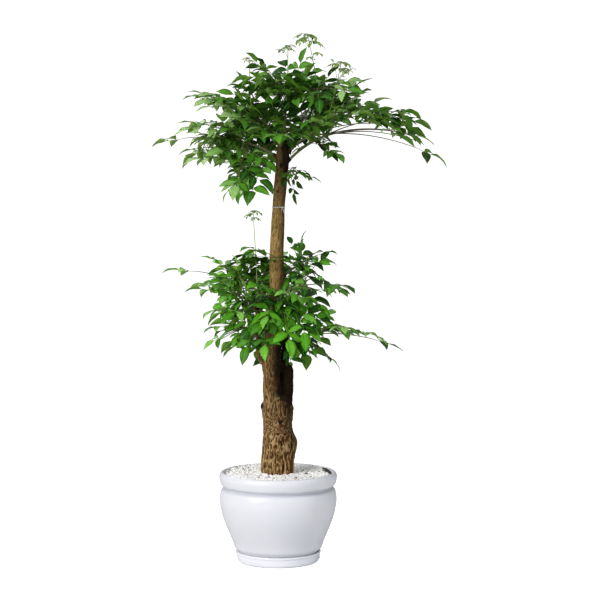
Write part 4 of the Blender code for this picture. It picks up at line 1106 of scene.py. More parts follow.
@dataclass
class Trunk:
    """Woody trunk with its fork, side stems, knots and collars, under bark in relief."""

    voxel: float = 0.00142
    squeeze: float = 0.405
    ring: int = 48
    collar_radii: tuple[float, float] = (0.0085, 0.0070)
    collar_reach: float = 0.0120
    collar_rise: float = 0.25
    knots: tuple[tuple[float, float, float, float], ...] = (
        (-0.047, -0.008, 0.5180, 0.0120), (0.047, 0.006, 0.4000, 0.0170),
        (0.038, -0.016, 0.5150, 0.0130), (-0.0300, -0.012, 0.6650, 0.0120),
        (0.0070, 0.004, 0.6440, 0.0085), (0.0065, 0.004, 0.6610, 0.0080))
    scars: tuple[tuple[float, float, float, float], ...] = (
        (-0.003, -0.021, 1.243, 0.0050), (-0.012, -0.023, 1.010, 0.0040),
        (-0.056, -0.012, 0.5200, 0.0080), (0.012, -0.020, 1.330, 0.0060),
        (0.008, -0.050, 0.4700, 0.0070), (-0.020, -0.018, 1.120, 0.0035))

    def seat(self, plan: ShootPlan) -> tuple[Vector, Vector, float]:
        """Start of a shoot on its limb's axis, its direction, and how far its collar goes."""
        x, y, z, radius = (float(value) for value in plan.limb.at(plan.seat))
        start = Vector((x, y, z))
        direction = ((Vector(plan.tip) - start).normalized() + self.collar_rise * UP).normalized()
        outward = max(0.6, math.hypot(direction.x, direction.y))
        return start, direction, radius / outward + self.collar_reach

    def limb_surface(self, limb: Limb) -> Surface:
        """Limb lofted through its rows.

        Formula: the radius at angle a and height z is the row's radius times
        1 + 0.025 sin(3a + 9z) + 0.018 sin(5a).
        """
        rows = smooth_line(np.array(limb.value), 10)
        if limb is Limb.FOOT:
            rows = np.concatenate([limb.value[:2], smooth_line(np.array(limb.value[2:]), 10)])
        angle = 2.0 * np.pi * np.arange(self.ring) / self.ring
        x, y, z, radius = (rows[:, axis, None] for axis in range(4))
        swell = 1.0 + 0.025 * np.sin(3.0 * angle + 9.0 * z) + 0.018 * np.sin(5.0 * angle)
        swell = np.where(z < 0.2815, 1.0, swell)
        rings = np.stack([x + radius * swell * np.cos(angle), y + radius * swell * np.sin(angle),
                          np.broadcast_to(z, (len(rows), self.ring))], axis=-1)
        points = np.concatenate([rings.reshape(-1, 3), rows[[0, -1], :3]])
        return plain_surface(points, *sleeve_faces(len(rows), self.ring))

    def collars(self) -> Surface:
        """Short woody cones that the green shoots stand in."""
        paths = []
        for plan in SHOOTS:
            start, direction, reach = self.seat(plan)
            paths.append([start, start + direction * (reach * 0.75), start + direction * reach])
        radii = np.tile([self.collar_radii[0], self.collar_radii[1] * 1.05, self.collar_radii[1]],
                        (len(paths), 1))
        return tubes(np.array(paths), radii, 16, np.zeros(len(paths)))

    def knot_balls(self) -> Surface:
        """Healed knots: short thick tubes whose ends close like a ball's."""
        rows = np.array(self.knots)
        place = np.cos(np.linspace(np.pi - 0.25, 0.25, 9))
        upright = np.array([0.0, 0.0, 1.35])
        paths = rows[:, None, :3] + place[None, :, None] * rows[:, None, 3:] * upright
        radii = rows[:, 3:] * np.sqrt(1.0 - place ** 2)[None]
        return tubes(paths, radii, 20, np.zeros(len(rows)))

    def fused(self) -> bpy.types.Mesh:
        """All limbs joined into one skin by a voxel remesh, with its seams smoothed.

        The limbs are squeezed along Z before the remesh and stretched back after it, so that
        the skin is finer across the bark's ridges than along them.
        """
        surfaces = [self.limb_surface(limb) for limb in Limb] + [self.collars(), self.knot_balls()]
        for surface in surfaces:
            surface.points = surface.points * (1.0, 1.0, self.squeeze)
        holder = bpy.data.objects.new("limbs", build_mesh("limbs", surfaces))
        bpy.context.scene.collection.objects.link(holder)
        remesh = holder.modifiers.new("Remesh", "REMESH")
        remesh.mode = "VOXEL"
        remesh.voxel_size = self.voxel
        smooth = holder.modifiers.new("Smooth", "SMOOTH")
        smooth.factor, smooth.iterations = 0.5, 8
        evaluated = holder.evaluated_get(bpy.context.evaluated_depsgraph_get())
        mesh = bpy.data.meshes.new_from_object(evaluated)
        bpy.data.objects.remove(holder, do_unlink=True)
        points = np.zeros(len(mesh.vertices) * 3, np.float32)
        mesh.vertices.foreach_get("co", points)
        points = points.reshape(-1, 3) / (1.0, 1.0, self.squeeze)
        mesh.vertices.foreach_set("co", points.astype(np.float32).ravel())
        mesh.update()
        return mesh

    def relief(self, points: Array) -> tuple[Array, Array, Array, Array]:
        """How far the bark stands out at each point, and what its finish reads.

        Formula: thin crests of a noise stretched upright, over finer ones, deep at the foot
        and shallow on the tall stem. Round the fork's swelling the noise isn't stretched, so
        the crests swirl there. A scar is a dent with the shape of a bell.

        Args:
            points: Points of the skin.

        Returns:
            The offset along the normal, how high on a crest each point is, how corky and how
            dark it is, all but the first from 0 to 1.
        """
        z = points[:, 2]
        cork = 1.0 - 0.25 * smoothstep(0.46, 0.58, z) - 0.75 * smoothstep(0.62, 0.86, z)
        swirl = np.exp(-((z - 0.462) / 0.020) ** 4)[:, None]
        waves = points * np.array([70.0, 70.0, 40.0])
        bend = np.stack([lattice_noise(waves, seed) for seed in (11, 12, 13)], axis=-1) - 0.5
        upright = np.array([1.0, 1.0, 0.17])
        stretch = upright + (np.array([1.0, 1.0, 0.75]) - upright) * swirl
        bent = points * stretch + bend * (np.array([0.0075, 0.0075, 0.0030]) + 0.009 * swirl)
        coarse = crests(lattice_noise(bent * 215.0, 1), 0.20)
        fine = crests(lattice_noise(bent * 420.0, 2), 0.28)
        broad = lattice_noise(points * np.array([26.0, 26.0, 16.0]), 3) - 0.5
        crest = np.clip(0.75 * coarse + 0.48 * fine, 0.0, 1.0)
        rough = 0.0032 * (crest - 0.40) + 0.0054 * broad
        slim = crests(lattice_noise(points * np.array([300.0, 300.0, 46.0]) + 3.0 * bend, 4), 0.45)
        rings = np.exp(-((np.mod(z * 17.0 + 0.4 * broad, 1.0) - 0.5) / 0.07) ** 2)
        sleek = 0.0006 * (slim - 0.5) + 0.00035 * rings + 0.0020 * broad
        offset = cork * rough + (1.0 - cork) * sleek
        high = cork * crest + (1.0 - cork) * (0.8 * slim + 0.2 * rings)
        dark = np.zeros(len(points))
        for x, y, height, radius in self.scars:
            away = np.linalg.norm(points - (x, y, height), axis=1) / radius
            offset -= 0.35 * radius * np.exp(-away ** 2)
            dark = np.maximum(dark, np.exp(-(away * 0.9) ** 4))
        offset *= smoothstep(0.2815, 0.2850, z)
        return offset, high, cork, dark

    def build(self, finish: bpy.types.Material) -> bpy.types.Object:
        """Make the trunk."""
        mesh = self.fused()
        count = len(mesh.vertices)
        points, normals = np.zeros(count * 3, np.float32), np.zeros(count * 3, np.float32)
        mesh.vertices.foreach_get("co", points)
        mesh.vertex_normals.foreach_get("vector", normals)
        points, normals = points.reshape(-1, 3).astype(float), normals.reshape(-1, 3)
        offset, high, cork, dark = self.relief(points)
        raised = points + normals * offset[:, None]
        mesh.vertices.foreach_set("co", raised.astype(np.float32).ravel())
        mesh.update()
        # Painted shade: the bark is darker inside the canopy, on the cut arm and its leader, on the
        # right side from the foot up, and under the lower tier. The scars add their own darker
        # colour to it.
        x, z = points[:, 0], points[:, 2]
        canopy = smoothstep(1.24, 1.36, z) * 0.75
        arm = smoothstep(0.002, 0.010, x) * smoothstep(0.532, 0.562, z)
        arm *= 1.0 - smoothstep(0.78, 0.84, z)
        right_side_shade = 0.66 * smoothstep(-0.55, 0.85, normals[:, 0]) * smoothstep(0.33, 0.41, z)
        under = 0.30 * smoothstep(0.47, 0.53, z) * (1.0 - smoothstep(0.80, 0.98, z))
        for name, values in (("tone", high), ("cork", cork),
                             ("shade", np.clip(dark + canopy + right_side_shade + under + arm, 0.0, 0.98))):
            set_tone(mesh, name, values)
        mesh.shade_smooth()
        return show("trunk_bark", mesh, [finish], "bark", "trunk")


@dataclass
class TieThread:
    """Thread wound twice round the tall stem, with a knot in front and two short ends."""

    height: float = 1.1905
    radius: float = 0.0008
    clearance: float = 0.0016
    knot_angle: float = math.radians(-62.0)

    def build(self, finish: bpy.types.Material) -> bpy.types.Object:
        """Make the thread: a coil of two turns, a small closed loop and two hanging ends."""
        x, y, _, stem = (float(value) for value in Limb.TALL_STEM.at(self.height))
        turn = np.linspace(0.0, 4.0 * np.pi, 97) + self.knot_angle
        loop = stem * (1.0 + 0.02 * np.sin(3.0 * turn)) + self.clearance
        rise = 0.0011 * np.sin(turn + 0.5) + 0.0017 * (np.arange(97) / 96 - 0.5)
        centre = np.array([x, y, self.height])
        coil = centre + np.stack([loop * np.cos(turn), loop * np.sin(turn), rise], axis=-1)
        out = np.array([math.cos(self.knot_angle), math.sin(self.knot_angle), 0.0])
        knot = centre + (stem + self.clearance) * out
        side = np.array([-out[1], out[0], 0.0])
        round_knot = np.linspace(0.0, 2.0 * np.pi, 25)[:, None]
        bow = knot + out * 0.0012 + 0.0021 * (np.cos(round_knot) * side + np.sin(round_knot) * UP)
        share = np.linspace(0.0, 1.0, 13)[:, None]
        ends = [knot + out * (0.001 + 0.003 * share) + side * hand * 0.006 * share
                - np.array([0.0, 0.0, length]) * share ** 1.4
                for hand, length in ((1.0, 0.019), (-0.5, 0.012))]
        surfaces = [tubes(path[None], np.full((1, len(path)), self.radius), 8, np.zeros(1))
                    for path in (coil, bow, *ends)]
        mesh = build_mesh("tie", surfaces)
        return show("tie", mesh, [finish], "thread", "tie_thread")


# ---- Leaves ----

class SideLeaf(NamedTuple):
    """Side leaf of a compound leaf: where it stands, which way it goes and its pairs."""

    root: Vector
    along: Vector
    normal: Vector
    pairs: int
    length: float
    scale: float
    seed: float


class Leaflet(NamedTuple):
    """One blade: its root, its direction, the way its upper side looks, and its length."""

    root: Vector
    way: Vector
    face: Vector
    length: float


@dataclass(frozen=True)
class Arc:
    """Curve from a start to a tip, drawn towards a bend."""

    start: Vector
    bend: Vector
    tip: Vector

    def at(self, share: float) -> Vector:
        """Point at a share of the curve."""
        return (self.start * (1 - share) ** 2 + self.bend * 2 * share * (1 - share)
                + self.tip * share ** 2)

    def heading(self, share: float) -> Vector:
        """Direction at a share of the curve."""
        first, last = self.bend - self.start, self.tip - self.bend
        return (first * (1 - share) + last * share).normalized()

    def line(self, first: float, last: float, count: int) -> Array:
        """Points from one share to another."""
        return np.array([self.at(first + (last - first) * i / (count - 1)) for i in range(count)])


@dataclass(frozen=True)
class LeafRule:
    """How a compound leaf grows: its rib, its side leaves in pairs, and their leaflets."""

    lift: tuple[float, float] = (0.12, 0.20)
    roll: float = 0.45
    bare_share: float = 0.14
    station_spacing: float = 0.056
    full_length: float = 0.24
    smallest_scale: float = 0.60
    side_angle: float = math.radians(56.0)
    pair_offset: float = 0.030
    pair_spacing: float = 0.034
    two_pairs_from: float = 0.24
    leaflet_angle: float = math.radians(61.0)
    leaflet_sag: tuple[float, float] = (0.05, 0.60)
    leaflet_length: float = 0.072

    @property
    def end_reach(self) -> float:
        """How far the end leaf stands past its rib, at full scale."""
        return self.pair_offset + 0.6 * self.pair_spacing + 1.05 * self.leaflet_length

    def grow(self, draw: random.Random, start: Vector,
             tip: Vector) -> tuple[Arc, float, list[SideLeaf]]:
        """Grow one leaf between two points.

        Args:
            draw: Source of the leaf's random numbers.
            start: Where it leaves its shoot.
            tip: Where its end leaflet points to.

        Returns:
            The curve of its rib, the share of it at which the rib ends, and its side leaves.
        """
        reach = tip - start
        length = reach.length
        scale = min(1.0, max(self.smallest_scale, length / self.full_length))
        arc = Arc(start, start + reach * 0.48 + UP * draw.uniform(*self.lift) * length, tip)
        outward = Vector((reach.x, reach.y, 0.0)).normalized()
        rib_end = max(0.45, 1.0 - self.end_reach * scale / length)
        spacing = self.station_spacing * scale
        count = max(2, round((rib_end - self.bare_share) * length / spacing) + 1)
        shares = [0.0] + [self.bare_share + (rib_end - self.bare_share) * i / (count - 1)
                          for i in range(count)]
        headings = [arc.heading(share) for share in shares]
        roll = draw.uniform(-self.roll, self.roll)
        normals = []
        for heading in headings:
            upper = UP - 0.5 * outward
            normal = (upper - heading * upper.dot(heading)).normalized()
            normals.append((normal + heading.cross(normal) * roll).normalized())
        leaves = []
        for station in range(1, count):
            side = headings[station].cross(normals[station])
            for hand in (-1.0, 1.0):
                angle = self.side_angle + draw.uniform(-0.10, 0.10)
                along = headings[station] * math.cos(angle) + side * hand * math.sin(angle)
                along = (along - UP * draw.uniform(0.02, 0.20)).normalized()
                pairs = 2 if length > self.two_pairs_from and station < 1 + count * 0.6 else 1
                size = self.leaflet_length * scale * draw.uniform(0.86, 1.12)
                leaves.append(SideLeaf(arc.at(shares[station]), along, normals[station], pairs,
                                       size, scale, draw.random()))
        along = (headings[-1] - UP * draw.uniform(0.0, 0.12)).normalized()
        size = self.leaflet_length * scale * draw.uniform(1.0, 1.12)
        leaves.append(SideLeaf(arc.at(shares[-1]), along, normals[-1], 1, size, scale,
                               draw.random()))
        return arc, rib_end, leaves

    def leaflets(self, leaf: SideLeaf) -> tuple[list[Leaflet], Vector]:
        """Leaflets of a side leaf, in pairs along its stalk and one at its end.

        Args:
            leaf: The side leaf.

        Returns:
            The leaflets, and where the stalk ends.
        """
        draw = random.Random(leaf.seed)
        along = leaf.along
        normal = (leaf.normal - along * leaf.normal.dot(along)).normalized()
        side = along.cross(normal)
        sag = normal * max(0.3, normal.z)
        blades = []
        for index in range(leaf.pairs):
            root = leaf.root + along * (self.pair_offset + self.pair_spacing * index) * leaf.scale
            for hand in (-1.0, 1.0):
                angle = self.leaflet_angle + draw.uniform(-0.10, 0.12)
                way = along * math.cos(angle) + side * hand * math.sin(angle)
                way = (way - sag * draw.uniform(*self.leaflet_sag)).normalized()
                face = normal + side * draw.uniform(-0.3, 0.3) - along * draw.uniform(-0.1, 0.2)
                blades.append(Leaflet(root, way, face.normalized(),
                                      leaf.length * draw.uniform(0.80, 1.0)))
        reach = (self.pair_offset + self.pair_spacing * (leaf.pairs - 0.4)) * leaf.scale
        end = leaf.root + along * reach
        way = (along - sag * draw.uniform(*self.leaflet_sag) * 0.8).normalized()
        face = (normal + side * draw.uniform(-0.3, 0.3)).normalized()
        blades.append(Leaflet(end, way, face, leaf.length * draw.uniform(1.0, 1.15)))
        return blades, end


@dataclass
class BladeShape:
    """Form of a leaflet: an egg shape with a drawn-out tip, folded, curled and waved."""

    stations: tuple[float, ...] = (0.0, 0.05, 0.13, 0.27, 0.45, 0.64, 0.80, 0.91)
    width: tuple[float, float] = (0.40, 0.54)
    widest: float = 0.41
    taper: float = 1.30
    share: float = 0.93
    curl: tuple[float, float] = (0.4, 1.3)
    fold: tuple[float, float] = (0.12, 0.34)
    wave: float = 0.10
    stalk: float = 0.0007
    half_thickness: float = 0.00024
    across: tuple[float, ...] = (-1.0, -0.5, 0.0, 0.5, 1.0, 0.5, 0.0, -0.5)
    layer: tuple[float, ...] = (0.0, 1.0, 1.0, 1.0, 0.0, -1.0, -1.0, -1.0)
    quads: Array = field(init=False)
    triangles: Array = field(init=False)
    quad_slots: Array = field(init=False)
    triangle_slots: Array = field(init=False)

    def __post_init__(self) -> None:
        """Work out the faces of one blade, which is a flat sleeve of rings with a tip."""
        rows, sides = len(self.stations), len(self.across)
        quads, triangles = sleeve_faces(rows, sides)
        cap = [[1, 7, 6, 2], [2, 6, 5, 3]]
        self.quads = np.concatenate([quads, cap])
        tip = triangles[sides:].copy()
        tip[:, 0] = rows * sides
        self.triangles = np.concatenate([tip, [[0, 7, 1], [3, 5, 4]]])
        upper = np.tile(np.arange(sides) < 4, rows - 1)
        self.quad_slots = np.concatenate([np.where(upper, 1, 2), [0, 0]])
        self.triangle_slots = np.concatenate([np.where(np.arange(sides) < 4, 1, 2), [0, 0]])

    def half_width(self, share: Array) -> Array:
        """Half width for each share of the blade's length, where the widest is one.

        Formula: t to the power a times (1 - t) to the power b, over its own largest value.
        """
        rise = self.taper * self.widest / (1.0 - self.widest)
        t = np.clip((share - 0.045) / 0.955, 0.0, 1.0)
        peak = self.widest ** rise * (1.0 - self.widest) ** self.taper
        return t ** rise * (1.0 - t) ** self.taper / peak

    def surface(self, blades: list[Leaflet], rng: np.random.Generator, tones: Array) -> Surface:
        """All the blades as one surface.

        Formula: the rib bends evenly through an angle k, so at share u its heading is
        k/2 - k u above the straight line from root to tip, and its place is the integral of
        that. Across it a point stands off by v times the half width, raised by the fold times
        |v|, and by a wave that runs along the edge and grows as v squared.

        Args:
            blades: The leaflets.
            rng: Source of their random numbers.
            tones: Tone of each.

        Returns:
            The surface, with U along each blade and V across it.
        """
        count = len(blades)
        root, way, face = (unit(np.array([tuple(blade[i]) for blade in blades])) if i else
                           np.array([tuple(blade[0]) for blade in blades]) for i in range(3))
        length = self.share * np.array([blade.length for blade in blades])[:, None, None]
        across = unit(np.cross(way, face))
        up = np.cross(across, way)
        share = np.append(np.array(self.stations), 1.0)[None, :, None]
        curl = rng.uniform(*self.curl, count)[:, None, None]
        forward = (np.sin(curl / 2) - np.sin(curl / 2 - curl * share)) / curl * length
        lifted = (np.cos(curl / 2 - curl * share) - np.cos(curl / 2)) / curl * length
        tilt = curl / 2 - curl * share
        rib = root[:, None] + forward * way[:, None] + lifted * up[:, None]
        normal = -np.sin(tilt) * way[:, None] + np.cos(tilt) * up[:, None]

        v = np.array(self.across)[None, None, :, None]
        layer = np.array(self.layer)[None, None, :, None]
        stations = share[:, :-1, :, None]
        width = rng.uniform(*self.width, count)[:, None, None, None]
        half = self.half_width(stations) * length[..., None] * width / 2
        on_stalk = stations < 0.06
        half = np.where(on_stalk, self.stalk, np.maximum(half, self.stalk))
        thick = np.where(on_stalk, self.stalk, self.half_thickness)
        fold = rng.uniform(*self.fold, count)[:, None, None, None]
        phase = rng.uniform(0.0, 2.0 * np.pi, count)[:, None, None, None]
        wave = self.wave * np.sin(2.0 * np.pi * 1.8 * stations + phase + 1.3 * v) * v * v
        raised = np.where(on_stalk, 0.0, half * (fold * np.abs(v) + wave)) + layer * thick
        rings = rib[:, :-1, None] + across[:, None, None] * v * half
        rings = rings + normal[:, :-1, None] * raised
        points = np.concatenate([rings.reshape(count, -1, 3), rib[:, -1:]], axis=1)
        along = np.repeat(self.stations, len(self.across))
        side = np.tile(np.array(self.across) * 0.5 + 0.5, len(self.stations))
        uv = np.concatenate([np.stack([along, side], axis=-1), [[1.0, 0.5]]])
        return repeat_surface(points, self.quads, self.triangles, uv, tones,
                              self.quad_slots, self.triangle_slots)


@dataclass
class Foliage:
    """What has grown on one shoot: ribs, stalks and leaflets, ready to be made one mesh."""

    rule: LeafRule
    ribs: list[Array] = field(default_factory=list)
    stalks: list[Array] = field(default_factory=list)
    blades: list[Leaflet] = field(default_factory=list)

    def add_leaf(self, draw: random.Random, start: Vector, tip: Place, lost: tuple[int, ...] = (),
                 bare: float = 0.0) -> None:
        """Grow a compound leaf.

        Args:
            draw: Source of the leaf's random numbers.
            start: The point of the shoot that it leaves.
            tip: Where its end leaflet points to.
            lost: Numbers of the side leaves that it lacks.
            bare: Share of the rib's stations that have no side leaves.
        """
        arc, rib_end, leaves = self.rule.grow(draw, start, Vector(tip))
        self.ribs.append(arc.line(0.0, rib_end, 14))
        last = (len(leaves) + 1) // 2
        for index, leaf in enumerate(leaves):
            if 1 + index // 2 >= bare * last and index not in lost:
                self.add_side_leaf(leaf)

    def add_side_leaf(self, leaf: SideLeaf) -> None:
        """Grow the stalk and the leaflets of a side leaf."""
        blades, end = self.rule.leaflets(leaf)
        line = [leaf.root.lerp(end, share) for share in (0.0, 0.33, 0.67, 1.0)]
        self.stalks.append(np.array(line))
        self.blades += blades

    def thin_out(self, wood: "Trunk") -> None:
        """Drop the leaflets that would pass through the trunk."""
        lines = np.array([[tuple(blade.root + blade.way * blade.length * share)
                           for share in (0.25, 0.55, 0.85)] for blade in self.blades])
        inside = np.zeros(len(lines), bool)
        for limb in Limb:
            rows = limb.at(lines[..., 2])
            away = np.hypot(lines[..., 0] - rows[..., 0], lines[..., 1] - rows[..., 1])
            low, high = limb.value[0][2], limb.value[-1][2]
            level = (lines[..., 2] > low) & (lines[..., 2] < high + 0.004)
            inside |= (level & (away < rows[..., 3] + wood.voxel * 2)).any(axis=1)
        self.blades = [blade for blade, hit in zip(self.blades, inside) if not hit]

    def surfaces(self, shape: BladeShape, rng: np.random.Generator,
                 rib_radii: tuple[float, float], stalk_radius: float) -> list[Surface]:
        """Ribs, stalks and blades as surfaces; the blades' tones are partly random and partly
        painted light and shade.
        """
        made = []
        if self.ribs:
            taper = np.linspace(*rib_radii, 14)
            made.append(tubes(np.array(self.ribs), np.tile(taper, (len(self.ribs), 1)), 7,
                              rng.uniform(0.35, 0.95, len(self.ribs))))
        if self.stalks:
            taper = stalk_radius * np.array([1.25, 1.0, 0.9, 0.75])
            made.append(tubes(np.array(self.stalks), np.tile(taper, (len(self.stalks), 1)), 5,
                              rng.uniform(0.0, 0.45, len(self.stalks))))
        roots = np.array([tuple(blade.root) for blade in self.blades])
        heights = roots[:, 2]
        middle = (heights - heights.min()) / max(float(np.ptp(heights)), 0.01) - 0.5
        outer = smoothstep(0.05, 0.30, np.hypot(roots[:, 0], 0.65 * roots[:, 1])) - 0.5
        # Painted light and shade: brighter higher up and towards the outside of the crown, darker
        # inside it and towards the right.
        tones = rng.normal(0.48, 0.26, len(self.blades)) + 0.20 * middle + 0.68 * outer
        tones = np.clip(tones - 0.60 * roots[:, 0], 0.0, 1.0)
        made.append(shape.surface(self.blades, rng, tones))
        return made


def shoot_line(start: Vector, direction: Vector, tip: Vector, straight: float,
               reach: float) -> tuple[Arc, list[Vector], Array]:
    """Stem of a shoot: short and straight out of its seat, then bent to its tip.

    Args:
        start: The seat.
        direction: Which way the stem leaves it.
        tip: Where it ends.
        straight: Length of the straight stretch.
        reach: How far the bend lies along the direction, as a share of the way to the tip.

    Returns:
        The curve, the few points of it that the solid part has, and a finer line.
    """
    arc = Arc(start + direction * straight, start + direction * (tip - start).length * reach, tip)
    coarse = [start] + [arc.at(index / 4) for index in range(5)]
    return arc, coarse, np.concatenate([[tuple(start)], arc.line(0.0, 1.0, 15)])


def point_along(path: list[Vector], share: float) -> Vector:
    """Point of a path at a share of its length."""
    lengths = [(after - before).length for before, after in zip(path, path[1:])]
    rest = share * sum(lengths)
    for before, after, length in zip(path, path[1:], lengths):
        if rest <= length:
            return before.lerp(after, rest / length)
        rest -= length
    return path[-1]


@dataclass
class LeafyShoot:
    """Green shoot with its compound leaves, those of the solid part and more between them."""

    plan: ShootPlan
    radii: tuple[float, float] = (0.0052, 0.0030)
    straight: float = 0.007
    bend: float = 0.45
    shares: tuple[float, ...] = (0.82, 0.70, 0.56, 0.42)

    def build(self, rule: LeafRule, shape: BladeShape, wood: Trunk,
              finishes: list[bpy.types.Material]) -> tuple[bpy.types.Object, Vector, Vector]:
        """Grow the shoot.

        Args:
            rule: How its leaves grow.
            shape: Form of its leaflets.
            wood: Trunk that it sits on.
            finishes: Materials of stalks, upper sides and undersides.

        Returns:
            The piece, the shoot's tip and its direction there.
        """
        plan = self.plan
        draw = random.Random(plan.name)
        start, direction, reach = wood.seat(plan)
        seat = start + direction * (reach + GAP)
        _, coarse, line = shoot_line(seat, direction, Vector(plan.tip), self.straight, self.bend)
        grown = Foliage(rule)
        for share, tip, lost, bare in zip(self.shares, plan.fronds, plan.lost, plan.bare):
            grown.add_leaf(draw, point_along(coarse, share), tip, lost, bare)
        for tip, share, lost in plan.more:
            draw = random.Random("%s %.3f %.3f %.3f" % (plan.name, *tip))
            grown.add_leaf(draw, point_along(coarse, share), tip, lost)
        grown.thin_out(wood)
        rng = np.random.default_rng(list(plan.name.encode()))
        radii = np.linspace(*self.radii, len(line))[None]
        surfaces = [tubes(line[None], radii, 10, np.array([0.35]))]
        surfaces += grown.surfaces(shape, rng, (0.0021, 0.0012), 0.0009)
        name = "leaves_" + plan.name
        piece = show(name, build_mesh(name, surfaces), finishes, plan.tier.value, plan.name)
        return piece, coarse[-1], (coarse[-1] - coarse[-2]).normalized()


@dataclass
class YoungShoot:
    """Pale young shoot: a thin stem under a head of arms that arch over like an umbrella."""

    plan: SproutPlan
    radii: tuple[float, float] = (0.0022, 0.0011)
    straight: float = 0.005
    bend: float = 0.18
    neck: float = 0.006
    leaflet_share: float = 0.42
    lower_leaflet: float = 0.024

    def arm(self, grown: Foliage, draw: random.Random, root: Vector, tip: Vector,
            size: float) -> None:
        """Grow an arm that arches from the stem to a tip, with leaflets hanging from it.

        Args:
            grown: What the arm is added to.
            draw: Source of its random numbers.
            root: Where it leaves the stem.
            tip: Where it ends.
            size: Length of its leaflets.
        """
        reach = tip - root
        arc = Arc(root, root + reach * 0.45 + UP * 0.42 * reach.length, tip)
        grown.ribs.append(arc.line(0.0, 1.0, 14))
        for share in (0.45, 0.66, 0.85):
            heading = arc.heading(share)
            side = heading.cross(UP).normalized()
            for hand in (-1.0, 1.0):
                way = heading * 0.55 + side * hand * draw.uniform(0.5, 0.9)
                way = way - UP * draw.uniform(0.3, 0.9)
                face = UP + side * hand * 0.4 + heading * 0.4
                grown.blades.append(Leaflet(arc.at(share), way.normalized(), face.normalized(),
                                            size * draw.uniform(0.65, 1.0)))
        way = arc.heading(1.0) - UP * draw.uniform(0.1, 0.5)
        face = UP + arc.heading(1.0) * 0.4
        grown.blades.append(Leaflet(tip, way.normalized(), face.normalized(), size))

    def build(self, rule: LeafRule, shape: BladeShape, end: Vector, direction: Vector,
              finishes: list[bpy.types.Material]) -> bpy.types.Object:
        """Grow the young shoot.

        Args:
            rule: How leaves grow.
            shape: Form of its leaflets.
            end: End of what carries it.
            direction: Direction of the carrier there.
            finishes: Materials of stalks, upper sides and undersides.

        Returns:
            The piece.
        """
        start = end + direction * GAP
        tip = Vector(self.plan.tip)
        arc, _, _ = shoot_line(start, direction, tip, self.straight, self.bend)
        last = 1.0 - self.neck / (tip - start).length
        line = np.concatenate([[tuple(start)], arc.line(0.0, last, 15)])
        draw = random.Random(self.plan.name + "_head")
        grown = Foliage(rule)
        for index in range(self.plan.arms):
            angle = index * GOLDEN_ANGLE + draw.uniform(-0.25, 0.25)
            length = self.plan.spread * draw.uniform(0.6, 1.0)
            root = arc.at(last - 0.025 * (index % 3))
            outward = Vector((math.cos(angle), math.sin(angle), draw.uniform(-0.35, 0.05)))
            self.arm(grown, draw, root, root + outward * length,
                     self.plan.spread * self.leaflet_share)
        for index, place in enumerate(self.plan.lower):
            root = arc.at(last - 0.16 - 0.10 * index)
            self.arm(grown, draw, root, Vector(place), self.lower_leaflet)
        rng = np.random.default_rng(list(self.plan.name.encode()))
        radii = np.linspace(*self.radii, len(line))[None]
        surfaces = [tubes(line[None], radii, 8, np.array([0.1]))]
        surfaces += grown.surfaces(shape, rng, (0.0010, 0.0006), 0.0006)
        name = "leaves_" + self.plan.name
        return show(name, build_mesh(name, surfaces), finishes, "leaf_young", self.plan.name)


# ---- Studio ----

